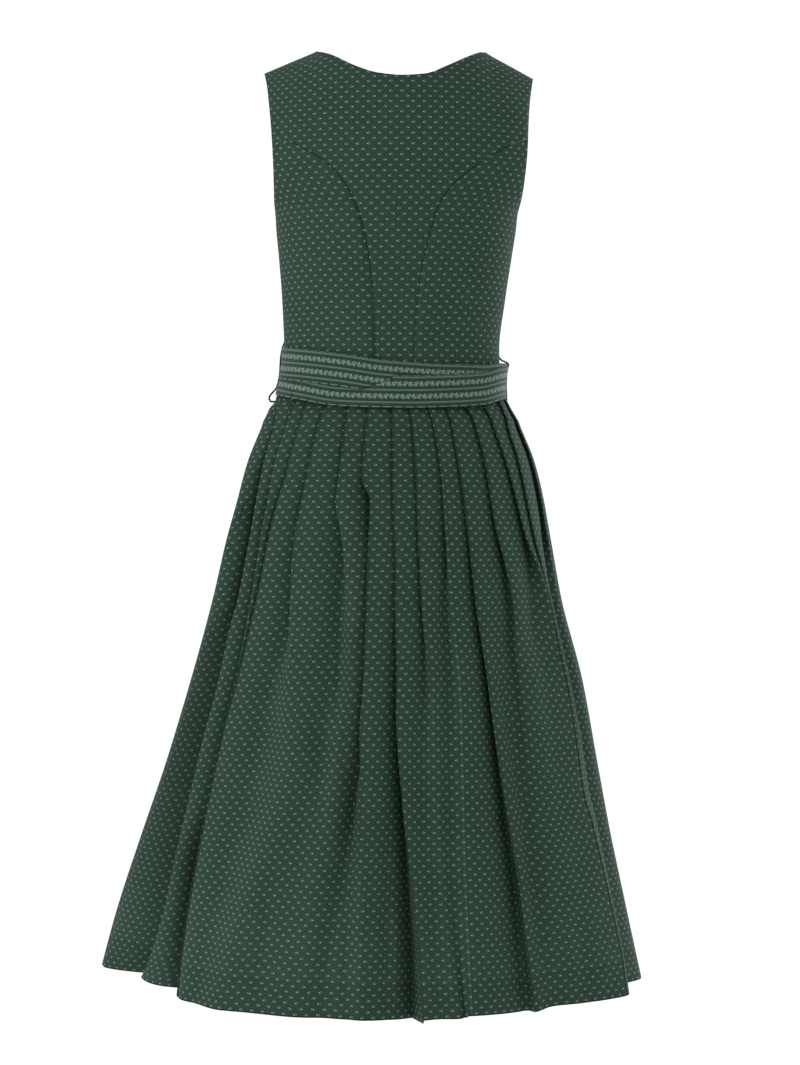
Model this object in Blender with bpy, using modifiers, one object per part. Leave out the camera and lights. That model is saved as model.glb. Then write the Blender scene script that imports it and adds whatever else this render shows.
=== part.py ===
"""A sleeveless dirndl dress, built as the pieces that a maker cuts and sews.

Run with: blender --background --python part.py

Metres, +Z up. The origin lies between the shoulders, where the dress hangs on its wearer. The wearer's
back faces -Y, and the left side of the dress is at -X. The dress keeps the shape it has when worn. The
sizes and the tables below are in millimetres. A bearing is an angle in degrees round the dress: 0 at the
centre back, -90 at the left side seam, 90 at the right one, and 180 or -180 at the centre front.
"""

import math
from collections import namedtuple

import bmesh
import bpy

MM = 0.001

# Cloth
BODICE_CLOTH = 1.2
SKIRT_CLOTH = 1.2
SEAM_GAP = 0.35
RIBBON_CLOTH = 1.0
RIBBON_WIDTH = 37.0
THREAD_RADIUS = 0.9

# Main heights
NECK_POINT = 11.0
CHEST = -110.0
UNDERARM = -172.0
WAIST = -384.0
HEM = -1052.0
HEM_TILT = 9.0

# The outline of level sections: how far each reaches to the left and right, and its depth to the back
# and to the front of the shoulder line. Above the underarm a section runs on past the armholes.
Section = namedtuple("Section", "height left right back front")

BODICE_SECTIONS = (
    Section(-384, -131, 116, 80, 106),
    Section(-331, -132, 114, 84, 107),
    Section(-274, -134.5, 122, 92, 115),
    Section(-228, -138, 129, 99, 123),
    Section(-196, -141, 134, 103, 126),
    Section(-172, -142.6, 137, 105, 126),
    Section(-160, -150, 146, 105.5, 125),
    Section(-140, -158, 156, 106, 121),
    Section(-110, -163, 163, 106, 113),
    Section(20, -163, 163, 106, 113),
)

SKIRT_SECTIONS = (
    Section(-1062, -345, 279, 279, 267),
    Section(-987, -327, 263, 262, 256),
    Section(-895, -299, 244, 241, 242),
    Section(-803, -268, 227, 219, 225),
    Section(-711, -240, 210, 197, 206),
    Section(-619, -215, 186, 172, 184),
    Section(-550, -199, 174, 151, 166),
    Section(-504, -186, 165.5, 136, 152),
    Section(-458, -173.5, 154, 119, 138),
    Section(-435, -164.5, 145, 109, 129),
    Section(-412, -154, 134.5, 97, 119),
    Section(-399, -143, 122, 89, 112.5),
    Section(-384, -131.5, 117, 81.5, 107.5),
)

# The inner face of the inner turn of ribbon.
RIBBON_SECTIONS = (
    Section(-410, -147.5, 127, 93.5, 117),
    Section(-400, -145.5, 124.5, 91, 114.5),
    Section(-389, -142.8, 121.5, 88.5, 112),
    Section(-377, -140.2, 120.5, 86.5, 110),
    Section(-366, -137, 121, 85.5, 109),
    Section(-354, -134.5, 121, 85.2, 108.5),
    Section(-343, -133.2, 118.5, 85.4, 108.5),
    Section(-325, -132.8, 115.5, 86.5, 109.2),
)
BODICE_FULLNESS = 0.86
SKIRT_FULLNESS = 0.95

# Seams and edges of the bodice: how far across they lie at each height.
Edge = namedtuple("Edge", "height left right")

BACK_PRINCESS_SEAMS = (
    Edge(-384, -26, 16),
    Edge(-337, -27, 17),
    Edge(-282, -28, 20.5),
    Edge(-250, -31, 24.5),
    Edge(-220, -36, 31),
    Edge(-196, -41, 37.5),
    Edge(-172, -49.5, 46),
    Edge(-150, -61, 63),
    Edge(-131, -77, 86),
    Edge(-117, -96, 107),
    Edge(-105, -116, 126),
    Edge(-96, -142, 142.5),
)

BACK_ARMHOLES = (
    Edge(-172, -142.6, 137),
    Edge(-165, -142.4, 137.5),
    Edge(-150, -142, 139),
    Edge(-131, -142.3, 141),
    Edge(-110, -143.2, 143),
    Edge(-96, -144, 144.5),
    Edge(-78, -145.5, 145.8),
    Edge(-55, -148, 147.5),
    Edge(-32, -151, 150.5),
    Edge(-12, -155, 153.5),
    Edge(0, -156, 155),
)

FRONT_PRINCESS_SEAMS = (
    Edge(-384, -50, 40),
    Edge(-318, -59, 49),
    Edge(-250, -76, 68),
    Edge(-196, -86, 81),
    Edge(-150, -90, 88),
    Edge(-117, -104, 104),
    Edge(-96, -129, 129),
)

FRONT_ARMHOLES = (
    Edge(-172, -142.6, 137),
    Edge(-165, -141, 136),
    Edge(-150, -135.5, 132.5),
    Edge(-131, -132.5, 132),
    Edge(-96, -131, 131),
    Edge(-55, -137, 137),
    Edge(-32, -144, 144),
    Edge(-12, -154, 153.5),
    Edge(0, -156, 155),
)

# Shoulder seams and neckline: the height of the cut edge across the back.
TopEdge = namedtuple("TopEdge", "across height")

BACK_TOP_EDGE = (
    TopEdge(-156, -12.5),
    TopEdge(-92.6, NECK_POINT),
    TopEdge(-77, 2),
    TopEdge(-51, -17),
    TopEdge(-24, -27),
    TopEdge(3, -30),
    TopEdge(30, -28),
    TopEdge(53, -18),
    TopEdge(79, -1),
    TopEdge(96.6, NECK_POINT),
    TopEdge(156, -20),
)
LEFT_NECK, RIGHT_NECK = -92.6, 96.6
FRONT_NECK_DEPTH = 142.0
NECK_TO_BACK, NECK_TO_FRONT = 60.0, 40.0
SHOULDER_GAP = 0.4

BUST_RISE, BUST_ACROSS, BUST_HEIGHT, BUST_SPREAD = 9.0, 78.0, -197.0, 60.0

# The heights of the rows of a bodice panel, and above them the angles that carry it over the shoulder.
BODICE_ROWS = (-384, -352, -318, -282, -250, -220, -196, -172, -165, -152, -134, -118, -105, -96)
SHOULDER_ANGLES = (18, 36, 54, 70, 82, 90)
BACK_COLUMNS = (0, 0.13, 0.258, 0.34, 0.42, 0.5, 0.58, 0.66, 0.745, 0.87, 1)
EVEN_COLUMNS = (0, 0.25, 0.5, 0.75, 1)

# Pleats. Each fold's crisp edge points to lower bearings. Its bearing and its depth, which is the step
# from its edge down to the panel before it, are given at three heights.
FOLD_HEIGHTS = (-400, -560, -1052)
Fold = namedtuple("Fold", "waist hip hem waist_depth hip_depth hem_depth")

BACK_FOLDS = (
    Fold(-80, -75, -71, 3.5, 3, 2),
    Fold(-68, -60, -56, 4, 9, 16),
    Fold(-54, -49, -43, 4, 8, 20),
    Fold(-44, -41, -34, 4, 4, 1),
    Fold(-33, -32, -27, 4, 7, 3),
    Fold(-20, -19, -17, 4, 6, 7),
    Fold(-10, -8, -5, 4, 5, 4),
    Fold(1, 3, 10, 4, 6, 30),
    Fold(9.5, 11, 17, 4, 4, 3),
    Fold(19, 20, 23.5, 4, 3, 5),
    Fold(28, 29, 33, 4, 8, 22),
    Fold(40, 41, 43, 4, 8, 3),
    Fold(53, 55, 55, 4, 8, 2),
    Fold(65, 63, 69, 3.5, 5, 7),
    Fold(78, 77, 80, 3.5, 4, 4),
)

# The hidden front repeats four kinds of pleat, from deep to faint, at an even pitch at the waist.
FRONT_FOLD_COUNT = 15
FRONT_FOLD_PITCH = 12.0
FRONT_WAIST_DEPTH = 4.0
FoldKind = namedtuple("FoldKind", "hem_shift hip_depth hem_depth")
FRONT_FOLD_KINDS = (
    FoldKind(1.5, 7, 18),
    FoldKind(-1.0, 5, 4),
    FoldKind(0.5, 6, 9),
    FoldKind(-1.5, 4, 3),
)
STEP_RUN_WAIST, STEP_RUN_HEM = 2.0, 9.0
PLEAT_BELLY = 0.12
SIDE_SEAM_DEPTH = 1.0
SKIRT_ROWS = (-399, -412, -435, -480, -560, -680, -810, -930)

# The two turns of ribbon: the upper one's top edge and the lower one's bottom edge.
Turn = namedtuple("Turn", "bearing upper_top lower_bottom")

RIBBON_PATH = (
    Turn(-180, -336, -382),
    Turn(-135, -331, -380.5),
    Turn(-90, -330, -380.5),
    Turn(-70, -333.5, -384.5),
    Turn(-50, -338, -390.5),
    Turn(-25, -344.5, -399),
    Turn(-5, -349, -401),
    Turn(10, -350.5, -402),
    Turn(25, -352, -401),
    Turn(50, -351.5, -397.5),
    Turn(72, -348.5, -390),
    Turn(90, -347, -387),
    Turn(135, -342, -384),
    Turn(180, -336, -382),
)

# Where the turns change places. Between start and end they don't overlap: the line between them runs
# straight from start_height to end_height. Before it the upper turn lies outside, after it the lower one.
Crossing = namedtuple("Crossing", "start end start_height end_height spread")
BACK_CROSSING = Crossing(-13.5, 0.0, -380.0, -370.5, 4.0)
FRONT_CROSSING = Crossing(160.0, 173.0, -362.0, -352.0, 4.0)
RIBBON_LAYER = RIBBON_CLOTH + 0.4
RIBBON_COLUMN_PITCH = 8.0
RIBBON_STEPS = 3

COTTON = ("green_cotton", (0.035, 0.065, 0.05), 0.82)
RIBBON = ("woven_ribbon", (0.09, 0.14, 0.11), 0.7)
THREAD = ("dark_thread", (0.012, 0.015, 0.016), 0.75)


def mix(a, b, share):
    return a + (b - a) * share


def slope_at(points, i):
    """The slope of a curve through the points at point i, level at a turning point."""
    if i in (0, len(points) - 1):
        first, second = points[:2] if i == 0 else points[-2:]
        return (second[1] - first[1]) / (second[0] - first[0])
    before = (points[i][1] - points[i - 1][1]) / (points[i][0] - points[i - 1][0])
    after = (points[i + 1][1] - points[i][1]) / (points[i + 1][0] - points[i][0])
    if before * after <= 0:
        return 0.0
    return 2 * before * after / (before + after)


def on_curve(points, at):
    """The value at `at` on a smooth curve through (position, value) points that run upwards."""
    at = min(max(at, points[0][0]), points[-1][0])
    i = max(n for n in range(len(points) - 1) if points[n][0] <= at)
    (start, low), (end, high) = points[i], points[i + 1]
    run = end - start
    t = (at - start) / run
    return (
        low * (1 + 2 * t) * (1 - t) ** 2
        + high * t**2 * (3 - 2 * t)
        + slope_at(points, i) * run * t * (1 - t) ** 2
        - slope_at(points, i + 1) * run * t**2 * (1 - t)
    )


def column_at(rows, column, at):
    """A table's column at `at`, between its rows, whose first column is the position."""
    return on_curve([(row[0], getattr(row, column)) for row in rows], at)


def centre_and_half(sections, height):
    left = column_at(sections, "left", height)
    right = column_at(sections, "right", height)
    return (left + right) / 2, (right - left) / 2


def section_point(sections, fullness, bearing, height, lift=0.0):
    """The (x, y) of a level section at a bearing, moved out by lift."""
    centre, half = centre_and_half(sections, height)
    turn = math.radians(bearing)
    to_back = math.cos(turn)
    depth = column_at(sections, "back" if to_back > 0 else "front", height) + lift
    x = centre + (half + lift) * math.sin(turn)
    return x, -math.copysign(depth * abs(to_back) ** fullness, to_back)


def bearing_across(across, height, front=False):
    """The bearing of a point of the bodice that lies this far across at this height."""
    centre, half = centre_and_half(BODICE_SECTIONS, height)
    turn = math.degrees(math.asin(min(max((across - centre) / half, -1), 1)))
    return math.copysign(180, turn) - turn if front else turn


def top_edge(across):
    """The height of the bodice's top edge: straight along a shoulder seam, curved along the neckline."""
    if LEFT_NECK < across < RIGHT_NECK:
        return on_curve(BACK_TOP_EDGE[1:-1], across)
    tip, neck = BACK_TOP_EDGE[:2] if across < 0 else BACK_TOP_EDGE[:-3:-1]
    return mix(neck.height, tip.height, (across - neck.across) / (tip.across - neck.across))


def shoulder_ridge(across, front):
    """(y, z) of the line that the bodice curves up to: a shoulder seam, or between them the neck."""
    side = 1 if front else -1
    if not LEFT_NECK < across < RIGHT_NECK:
        return side * SHOULDER_GAP, top_edge(across)
    share = across / (LEFT_NECK if across < 0 else RIGHT_NECK)
    reach = NECK_TO_FRONT if front else NECK_TO_BACK
    return side * (SHOULDER_GAP + reach * math.sqrt(1 - share**2)), NECK_POINT


def bodice_point(bearing, height):
    """A point on the outside of the bodice."""
    x, y = section_point(BODICE_SECTIONS, BODICE_FULLNESS, bearing, height)
    front = y > 0
    if front:
        for side in (-1, 1):
            away = ((x - side * BUST_ACROSS) ** 2 + (height - BUST_HEIGHT) ** 2) / BUST_SPREAD**2
            y += BUST_RISE * math.exp(-away)
    if height > CHEST:
        ridge_y, ridge_z = shoulder_ridge(x, front)
        rise = min((height - CHEST) / (ridge_z - CHEST), 1.0)
        y = mix(y, ridge_y, 1 - math.sqrt(1 - rise**2))
    return x, y, height


def skirt_point(bearing, height, depth):
    """A point on the outside of the skirt, depth inside its outline. The hem runs lower to the right."""
    x, y = section_point(SKIRT_SECTIONS, SKIRT_FULLNESS, bearing, height, -depth)
    share = (WAIST - height) / (WAIST - HEM)
    return x, y, height - HEM_TILT * math.sin(math.radians(bearing)) * share**2


def make_material(name, colour, roughness):
    material = bpy.data.materials.new(name)
    material.use_nodes = True
    shader = material.node_tree.nodes["Principled BSDF"]
    shader.inputs["Base Color"].default_value = (*colour, 1.0)
    shader.inputs["Roughness"].default_value = roughness
    shader.inputs["Metallic"].default_value = 0.0
    return material


def cloth_from_rows(name, rows, thickness, outwards, material, collection, closed=False):
    """A wall of cloth on a grid of points, whose rows run up and whose columns run to higher bearings."""
    mesh = bpy.data.meshes.new(name)
    bm = bmesh.new()
    grid = [[bm.verts.new([c * MM for c in point]) for point in row] for row in rows]
    for low, high in zip(grid, grid[1:]):
        columns = range(len(low) if closed else len(low) - 1)
        for i in columns:
            j = (i + 1) % len(low)
            bm.faces.new((low[i], low[j], high[j], high[i]))
    bm.to_mesh(mesh)
    bm.free()
    obj = bpy.data.objects.new(name, mesh)
    collection.objects.link(obj)
    mesh.materials.append(material)
    wall = obj.modifiers.new("Wall", "SOLIDIFY")
    wall.thickness = thickness * MM
    wall.offset = 1.0 if outwards else -1.0
    mesh.shade_smooth()
    mesh.set_sharp_from_angle(angle=math.radians(40))
    return obj


def inset(edge, sense):
    """A panel's edge moved in by half the seam gap: sense is 1 on its left edge and -1 on its right one."""
    moved = []
    for i, (bearing, height) in enumerate(edge):
        before, after = edge[max(i - 1, 0)], edge[min(i + 1, len(edge) - 1)]
        scale = math.radians(centre_and_half(BODICE_SECTIONS, height)[1])
        along = (after[0] - before[0]) * scale
        up = after[1] - before[1]
        length = math.hypot(along, up)
        shift = sense * SEAM_GAP / 2
        inner = 0 < i < len(edge) - 1
        moved.append(
            (
                bearing + shift * up / length / scale,
                height - (shift * along / length if inner else 0),
            )
        )
    return moved


def bodice_panel(left, right, columns, crown_rows=0):
    """A panel between two edges of (bearing, height) points. The last crown_rows rise to the top edge."""
    rows = []
    left, right = inset(left, 1), inset(right, -1)
    plain = len(left) - crown_rows
    for number, (start, end) in enumerate(zip(left, right)):
        row = []
        for share in columns:
            bearing = mix(start[0], end[0], share)
            height = mix(start[1], end[1], share)
            if number >= plain:
                base = BODICE_ROWS[-1]
                across = section_point(BODICE_SECTIONS, BODICE_FULLNESS, bearing, base)[0]
                rise = math.sin(math.radians(SHOULDER_ANGLES[number - plain]))
                height = mix(base, top_edge(across), rise)
            row.append(bodice_point(bearing, height))
        rows.append(row)
    return rows


def seam_edge(table, side, front=False):
    """The points of a seam at the heights of the bodice's rows."""
    return [
        (bearing_across(column_at(table, side, height), height, front), height)
        for height in BODICE_ROWS
    ]


def armhole_edge(table, side, front=False):
    """The points of an armhole from the last row up to the shoulder tip."""
    tip = top_edge(table[-1].left if side == "left" else table[-1].right)
    points = []
    for angle in SHOULDER_ANGLES:
        height = mix(BODICE_ROWS[-1], tip, math.sin(math.radians(angle)))
        points.append((bearing_across(column_at(table, side, height), height, front), height))
    return points


def side_edge(table, side, front=False):
    """The side seam up to the underarm, and above it the armhole up to the last row."""
    points = []
    for height in BODICE_ROWS:
        if height <= UNDERARM:
            points.append((-90.0 if side == "left" else 90.0, height))
        else:
            points.append((bearing_across(column_at(table, side, height), height, front), height))
    return points


def front_opening_edge(side):
    """The centre-front edge, and above it one side of the round neckline up to the shoulder seam."""
    sign, neck = (-1, LEFT_NECK) if side == "left" else (1, RIGHT_NECK)
    bottom = NECK_POINT - FRONT_NECK_DEPTH
    straight = [height for height in BODICE_ROWS if height <= bottom]
    points = [(sign * 180.0, height) for height in straight]
    arc_rows = len(BODICE_ROWS) + len(SHOULDER_ANGLES) - len(straight)
    for i in range(1, arc_rows + 1):
        turn = math.radians(90 * i / arc_rows)
        height = NECK_POINT - FRONT_NECK_DEPTH * math.cos(turn)
        points.append((bearing_across(neck * math.sin(turn), height, True), height))
    return points


def build_bodice(material, collection):
    over_shoulder = len(SHOULDER_ANGLES)
    princess = {side: seam_edge(BACK_PRINCESS_SEAMS, side) for side in ("left", "right")}
    armhole = {side: armhole_edge(BACK_ARMHOLES, side) for side in ("left", "right")}
    front_princess = {side: seam_edge(FRONT_PRINCESS_SEAMS, side, True) for side in ("left", "right")}
    front_armhole = {side: armhole_edge(FRONT_ARMHOLES, side, True) for side in ("left", "right")}
    panels = {
        "back_centre": bodice_panel(
            princess["left"] + armhole["left"],
            princess["right"] + armhole["right"],
            BACK_COLUMNS,
            over_shoulder,
        )
    }
    for side in ("left", "right"):
        back_side = [side_edge(BACK_ARMHOLES, side), princess[side]]
        front_side = [front_princess[side], side_edge(FRONT_ARMHOLES, side, True)]
        front_centre = [front_opening_edge(side), front_princess[side] + front_armhole[side]]
        for name, edges in (
            (f"back_side_{side}", back_side),
            (f"front_side_{side}", front_side),
            (f"front_centre_{side}", front_centre),
        ):
            left, right = edges if side == "left" else edges[::-1]
            panels[name] = bodice_panel(left, right, EVEN_COLUMNS)
    for name, rows in panels.items():
        cloth_from_rows(name, rows, BODICE_CLOTH, False, material, collection)


def front_folds():
    """The pleats of the hidden front, from the right side seam round to the left one."""
    first = 180 - FRONT_FOLD_PITCH * (FRONT_FOLD_COUNT - 1) / 2
    folds = []
    for i in range(FRONT_FOLD_COUNT):
        kind = FRONT_FOLD_KINDS[i % len(FRONT_FOLD_KINDS)]
        bearing = first + i * FRONT_FOLD_PITCH
        at_hem = bearing + kind.hem_shift
        depths = (FRONT_WAIST_DEPTH, kind.hip_depth, kind.hem_depth)
        folds.append(Fold(bearing, bearing, at_hem, *depths))
    return folds


def fold_at(fold, height):
    """The bearing and depth of a fold at a height."""
    down = [-h for h in FOLD_HEIGHTS]
    bearing = on_curve(list(zip(down, fold[:3])), -height)
    depth = on_curve(list(zip(down, fold[3:])), -height)
    return bearing, depth


def skirt_row(folds, start, end, height):
    """One level row of a skirt width: from each fold's edge the cloth runs down to the foot of the next."""
    half = centre_and_half(SKIRT_SECTIONS, height)[1]
    scale = math.radians(half)
    share = (WAIST - height) / (WAIST - HEM)
    run = mix(STEP_RUN_WAIST, STEP_RUN_HEM, share) / scale
    points = [(start, SIDE_SEAM_DEPTH)]
    for fold in [*folds, None]:
        bearing, depth = fold_at(fold, height) if fold else (end, SIDE_SEAM_DEPTH)
        foot = bearing - run if fold else bearing
        edge, edge_depth = points[-1]
        belly = (edge_depth + depth) / 2 - PLEAT_BELLY * (depth - edge_depth)
        points.append(((edge + foot) / 2, belly))
        points.append((foot, depth))
        if fold:
            points.append((bearing, 0.0))
    return [skirt_point(bearing, height, depth) for bearing, depth in points]


def build_skirt(material, collection):
    gap = math.degrees(SEAM_GAP / 2 / centre_and_half(SKIRT_SECTIONS, WAIST)[1])
    heights = (HEM, *SKIRT_ROWS[::-1], WAIST - SEAM_GAP)
    for name, folds, start in (
        ("skirt_back", BACK_FOLDS, -90.0),
        ("skirt_front", front_folds(), 90.0),
    ):
        rows = [skirt_row(folds, start + gap, start + 180 - gap, height) for height in heights]
        cloth_from_rows(name, rows, SKIRT_CLOTH, False, material, collection)


def ribbon_bearings():
    """The bearings of the ribbon's columns, with one at each corner of a crossing."""
    corners = []
    for crossing in (BACK_CROSSING, FRONT_CROSSING):
        middle = (crossing.start + crossing.end) / 2
        corners += [crossing.start - crossing.spread, crossing.start, middle]
        corners += [crossing.end, crossing.end + crossing.spread]
    even = [-180 + RIBBON_COLUMN_PITCH * i for i in range(int(360 / RIBBON_COLUMN_PITCH))]
    room = RIBBON_COLUMN_PITCH / 3
    clear = [b for b in even if min(abs(b - corner) for corner in corners) > room]
    return sorted(clear + corners)


def crossing_state(bearing):
    """(crossing, share) inside a crossing, else None and the turn outside: 0 the upper, 1 the lower."""
    for crossing in (BACK_CROSSING, FRONT_CROSSING):
        if crossing.start <= bearing <= crossing.end:
            return crossing, (bearing - crossing.start) / (crossing.end - crossing.start)
    return None, 1.0 if BACK_CROSSING.end < bearing < FRONT_CROSSING.start else 0.0


def ribbon_column(bearing, upper):
    """The inner face of one turn at a bearing, as its bottom, middle and top points."""
    crossing, share = crossing_state(bearing)
    top = column_at(RIBBON_PATH, "upper_top", bearing)
    bottom = column_at(RIBBON_PATH, "lower_bottom", bearing)
    low, high = (top - RIBBON_WIDTH, top) if upper else (bottom, bottom + RIBBON_WIDTH)
    if crossing:
        line = mix(crossing.start_height, crossing.end_height, share)
        if upper:
            low = max(low, line + SEAM_GAP)
        else:
            high = min(high, line - SEAM_GAP)
    outside = share if bearing < BACK_CROSSING.end + 1 or not crossing else 1 - share
    lift = RIBBON_LAYER * (1 - outside if upper else outside)
    points = []
    for step in range(RIBBON_STEPS + 1):
        height = mix(low, high, step / RIBBON_STEPS)
        points.append(
            (*section_point(RIBBON_SECTIONS, BODICE_FULLNESS, bearing, height, lift), height)
        )
    return points


def build_ribbons(material, collection):
    for name, upper in (("ribbon_upper", True), ("ribbon_lower", False)):
        columns = [ribbon_column(bearing, upper) for bearing in ribbon_bearings()]
        rows = list(zip(*columns))
        cloth_from_rows(name, rows, RIBBON_CLOTH, True, material, collection, closed=True)


# The thread loops that carry the ribbon at the side seams, from the bodice over both turns to the skirt.
LoopPoint = namedtuple("LoopPoint", "out height")
LOOP_BEARING = 99.0
LOOPS = {
    "belt_loop_left": (
        LoopPoint(-132.2, -320),
        LoopPoint(-135, -327),
        LoopPoint(-137.2, -340),
        LoopPoint(-138.2, -356),
        LoopPoint(-141.4, -372),
        LoopPoint(-150.5, -385.5),
        LoopPoint(-148, -389.5),
        LoopPoint(-143.5, -389.5),
    ),
    "belt_loop_right": (
        LoopPoint(114, -336),
        LoopPoint(118, -341),
        LoopPoint(126.5, -346.5),
        LoopPoint(124.6, -356),
        LoopPoint(123.8, -372),
        LoopPoint(124.4, -390),
        LoopPoint(122, -397),
    ),
}


def build_loops(material, collection):
    for name, points in LOOPS.items():
        curve = bpy.data.curves.new(name, "CURVE")
        curve.dimensions = "3D"
        curve.bevel_depth = THREAD_RADIUS * MM
        curve.bevel_resolution = 1
        curve.resolution_u = 3
        curve.use_fill_caps = True
        spline = curve.splines.new("NURBS")
        spline.points.add(len(points) - 1)
        spline.use_endpoint_u = True
        spline.order_u = 3
        depth = section_point(RIBBON_SECTIONS, BODICE_FULLNESS, LOOP_BEARING, WAIST)[1]
        for target, point in zip(spline.points, points):
            target.co = (point.out * MM, depth * MM, point.height * MM, 1.0)
        curve.materials.append(material)
        collection.objects.link(bpy.data.objects.new(name, curve))


def main():
    for obj in list(bpy.data.objects):
        bpy.data.objects.remove(obj, do_unlink=True)
    collection = bpy.data.collections.new("dirndl_dress")
    bpy.context.scene.collection.children.link(collection)
    cotton, ribbon, thread = (make_material(*finish) for finish in (COTTON, RIBBON, THREAD))
    build_bodice(cotton, collection)
    build_skirt(cotton, collection)
    build_ribbons(ribbon, collection)
    build_loops(thread, collection)


main()
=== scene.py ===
"""The looks of a sleeveless dirndl dress: thin shells of cloth on the dress's solids, with their finishes.

The frame is in metres, +Z up. The wearer's back faces -Y and the left side of the dress is at -X. Sizes
in this file are in millimetres unless a name says otherwise, and MM turns them into metres. A bearing is
an angle in degrees round the dress: 0 at the centre back, -90 at the left side seam, 90 at the right one
and 180 or -180 at the centre front.
"""

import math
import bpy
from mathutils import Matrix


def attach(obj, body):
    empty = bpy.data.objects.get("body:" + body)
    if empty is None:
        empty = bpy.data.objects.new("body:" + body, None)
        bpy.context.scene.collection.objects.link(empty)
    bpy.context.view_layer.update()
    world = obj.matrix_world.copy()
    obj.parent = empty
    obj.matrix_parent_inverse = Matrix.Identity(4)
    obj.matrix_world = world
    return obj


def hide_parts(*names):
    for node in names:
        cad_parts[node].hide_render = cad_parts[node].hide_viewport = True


bl_info = {
    "name": "Dirndl Dress",
    "version": (1, 0, 0),
    "blender": (4, 5, 0),
    "location": "3D View > Sidebar > Dirndl",
    "description": "Builds a pleated dirndl dress with a woven ribbon belt",
    "category": "Add Mesh",
}

from collections import namedtuple
from functools import cache, partialmethod, reduce

import bmesh
import bpy
import numpy as np
from mathutils import Vector

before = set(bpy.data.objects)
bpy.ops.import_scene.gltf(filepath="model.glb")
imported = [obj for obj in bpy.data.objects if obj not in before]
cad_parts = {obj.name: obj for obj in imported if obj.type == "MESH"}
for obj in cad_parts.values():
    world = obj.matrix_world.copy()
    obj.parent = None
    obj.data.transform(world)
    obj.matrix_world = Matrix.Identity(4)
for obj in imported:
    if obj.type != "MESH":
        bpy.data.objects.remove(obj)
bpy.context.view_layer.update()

MM = 0.001
BODY = "root"
CLOTH_UV = "cloth"
RIM = "rim"
SEAM = "seam"
WIDTH_SEAM = "width_seam"
PAINTED_SHADE = "pocket"
ABOVE_HEM = "above_hem"
FAR = 1e3
SIDES = ("left", "right")


def rows(kind, *values):
    """A table with a named tuple for each row."""
    return tuple(kind(*value) for value in values)


# ---- The dress's own sizes, which are those of its solids ----

SEAM_GAP = 0.1
RIBBON_WIDTH = 37.0

NECK_POINT = 9.0
CHEST = -110.0
UNDERARM = -172.0
BODICE_CROWN = -96.0
WAIST = -384.0
HEM = -1052.0
HEM_TILT = 9.0

Section = namedtuple("Section", "height left right back front")

BODICE_SECTIONS = rows(
    Section,
    (-384, -131, 116, 80, 106), (-331, -132, 115.2, 84, 107), (-274, -134.5, 122, 92, 115),
    (-228, -138, 129, 99, 123), (-196, -141, 134, 103, 126), (-172, -142.6, 137, 105, 126),
    (-160, -150, 146, 105.5, 125), (-140, -158, 156, 106, 121), (-110, -163, 163, 106, 113),
    (20, -163, 163, 106, 113),
)

SKIRT_SECTIONS = rows(
    Section,
    (-1062, -345, 279, 279, 267), (-987, -327, 263, 262, 256), (-895, -299, 244, 241, 242),
    (-803, -268, 227, 219, 225), (-711, -240, 210, 197, 206), (-619, -215, 186, 172, 184),
    (-550, -199, 174, 151, 166), (-504, -186, 165.5, 136, 152), (-458, -173.5, 154, 119, 138),
    (-435, -164.5, 145, 109, 129), (-412, -154, 134.5, 97, 119), (-399, -143, 122, 89, 112.5),
    (-384, -131.5, 117, 81.5, 107.5),
)

RIBBON_SECTIONS = rows(
    Section,
    (-410, -147.5, 127, 93.5, 117), (-400, -145.5, 124.5, 91, 114.5), (-389, -142.8, 121.5, 88.5, 112),
    (-377, -140.2, 120.5, 86.5, 110), (-366, -137, 121, 85.5, 109), (-354, -134.5, 121, 85.2, 108.5),
    (-343, -133.2, 118.5, 85.4, 108.5), (-325, -132.8, 115.5, 86.5, 109.2),
)
BODICE_FULLNESS = 0.86
SKIRT_FULLNESS = 0.95

Edge = namedtuple("Edge", "height left right")

BACK_PRINCESS_SEAMS = rows(
    Edge,
    (-384, -26, 16), (-337, -27, 17), (-282, -28, 20.5), (-250, -31, 24.5), (-220, -36, 31),
    (-196, -41, 37.5), (-172, -49.5, 46), (-150, -61, 63), (-131, -77, 86), (-117, -96, 107),
    (-105, -116, 126), (-96, -144, 146),
)

BACK_ARMHOLES = rows(
    Edge,
    (-172, -142.6, 137), (-165, -142.4, 138.8), (-150, -142, 141.3), (-131, -142.3, 143.5),
    (-110, -143.2, 145.3), (-96, -144, 146), (-78, -145.5, 146.8), (-55, -148, 148.6), (-32, -151, 152),
    (-12, -155, 155.2), (0, -156, 156.5),
)

FRONT_PRINCESS_SEAMS = rows(
    Edge,
    (-384, -50, 40), (-318, -59, 49), (-250, -76, 68), (-196, -86, 81), (-150, -90, 88), (-117, -104, 104),
    (-96, -131, 131),
)

FRONT_ARMHOLES = rows(
    Edge,
    (-172, -142.6, 137), (-165, -141, 136), (-150, -135.5, 132.5), (-131, -132.5, 132), (-96, -131, 131),
    (-55, -137, 137.5), (-40, -142, 144), (-32, -146, 149), (-21.5, -151.5, 153.7), (-12, -155, 155.2),
    (0, -156, 156.5),
)

TopEdge = namedtuple("TopEdge", "across height")

SHOULDER_TIPS = {"left": TopEdge(-156, -14), "right": TopEdge(157, -21.5)}
NECK_POINTS = {"left": TopEdge(-99.5, NECK_POINT), "right": TopEdge(100, NECK_POINT)}
BACK_NECKLINE = (
    NECK_POINTS["left"],
    *rows(
        TopEdge,
        (-88, 3.5), (-77, -1.5), (-51, -17), (-24, -27), (3, -30), (30, -28), (53, -18), (79, -3.5),
        (90, 3),
    ),
    NECK_POINTS["right"],
)
FRONT_NECK_DEPTH = 142.0
NECK_TO_BACK, NECK_TO_FRONT = 60.0, 40.0
SHOULDER_GAP = 0.1

BUST_RISE, BUST_ACROSS, BUST_HEIGHT, BUST_SPREAD = 9.0, 78.0, -197.0, 60.0

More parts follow.
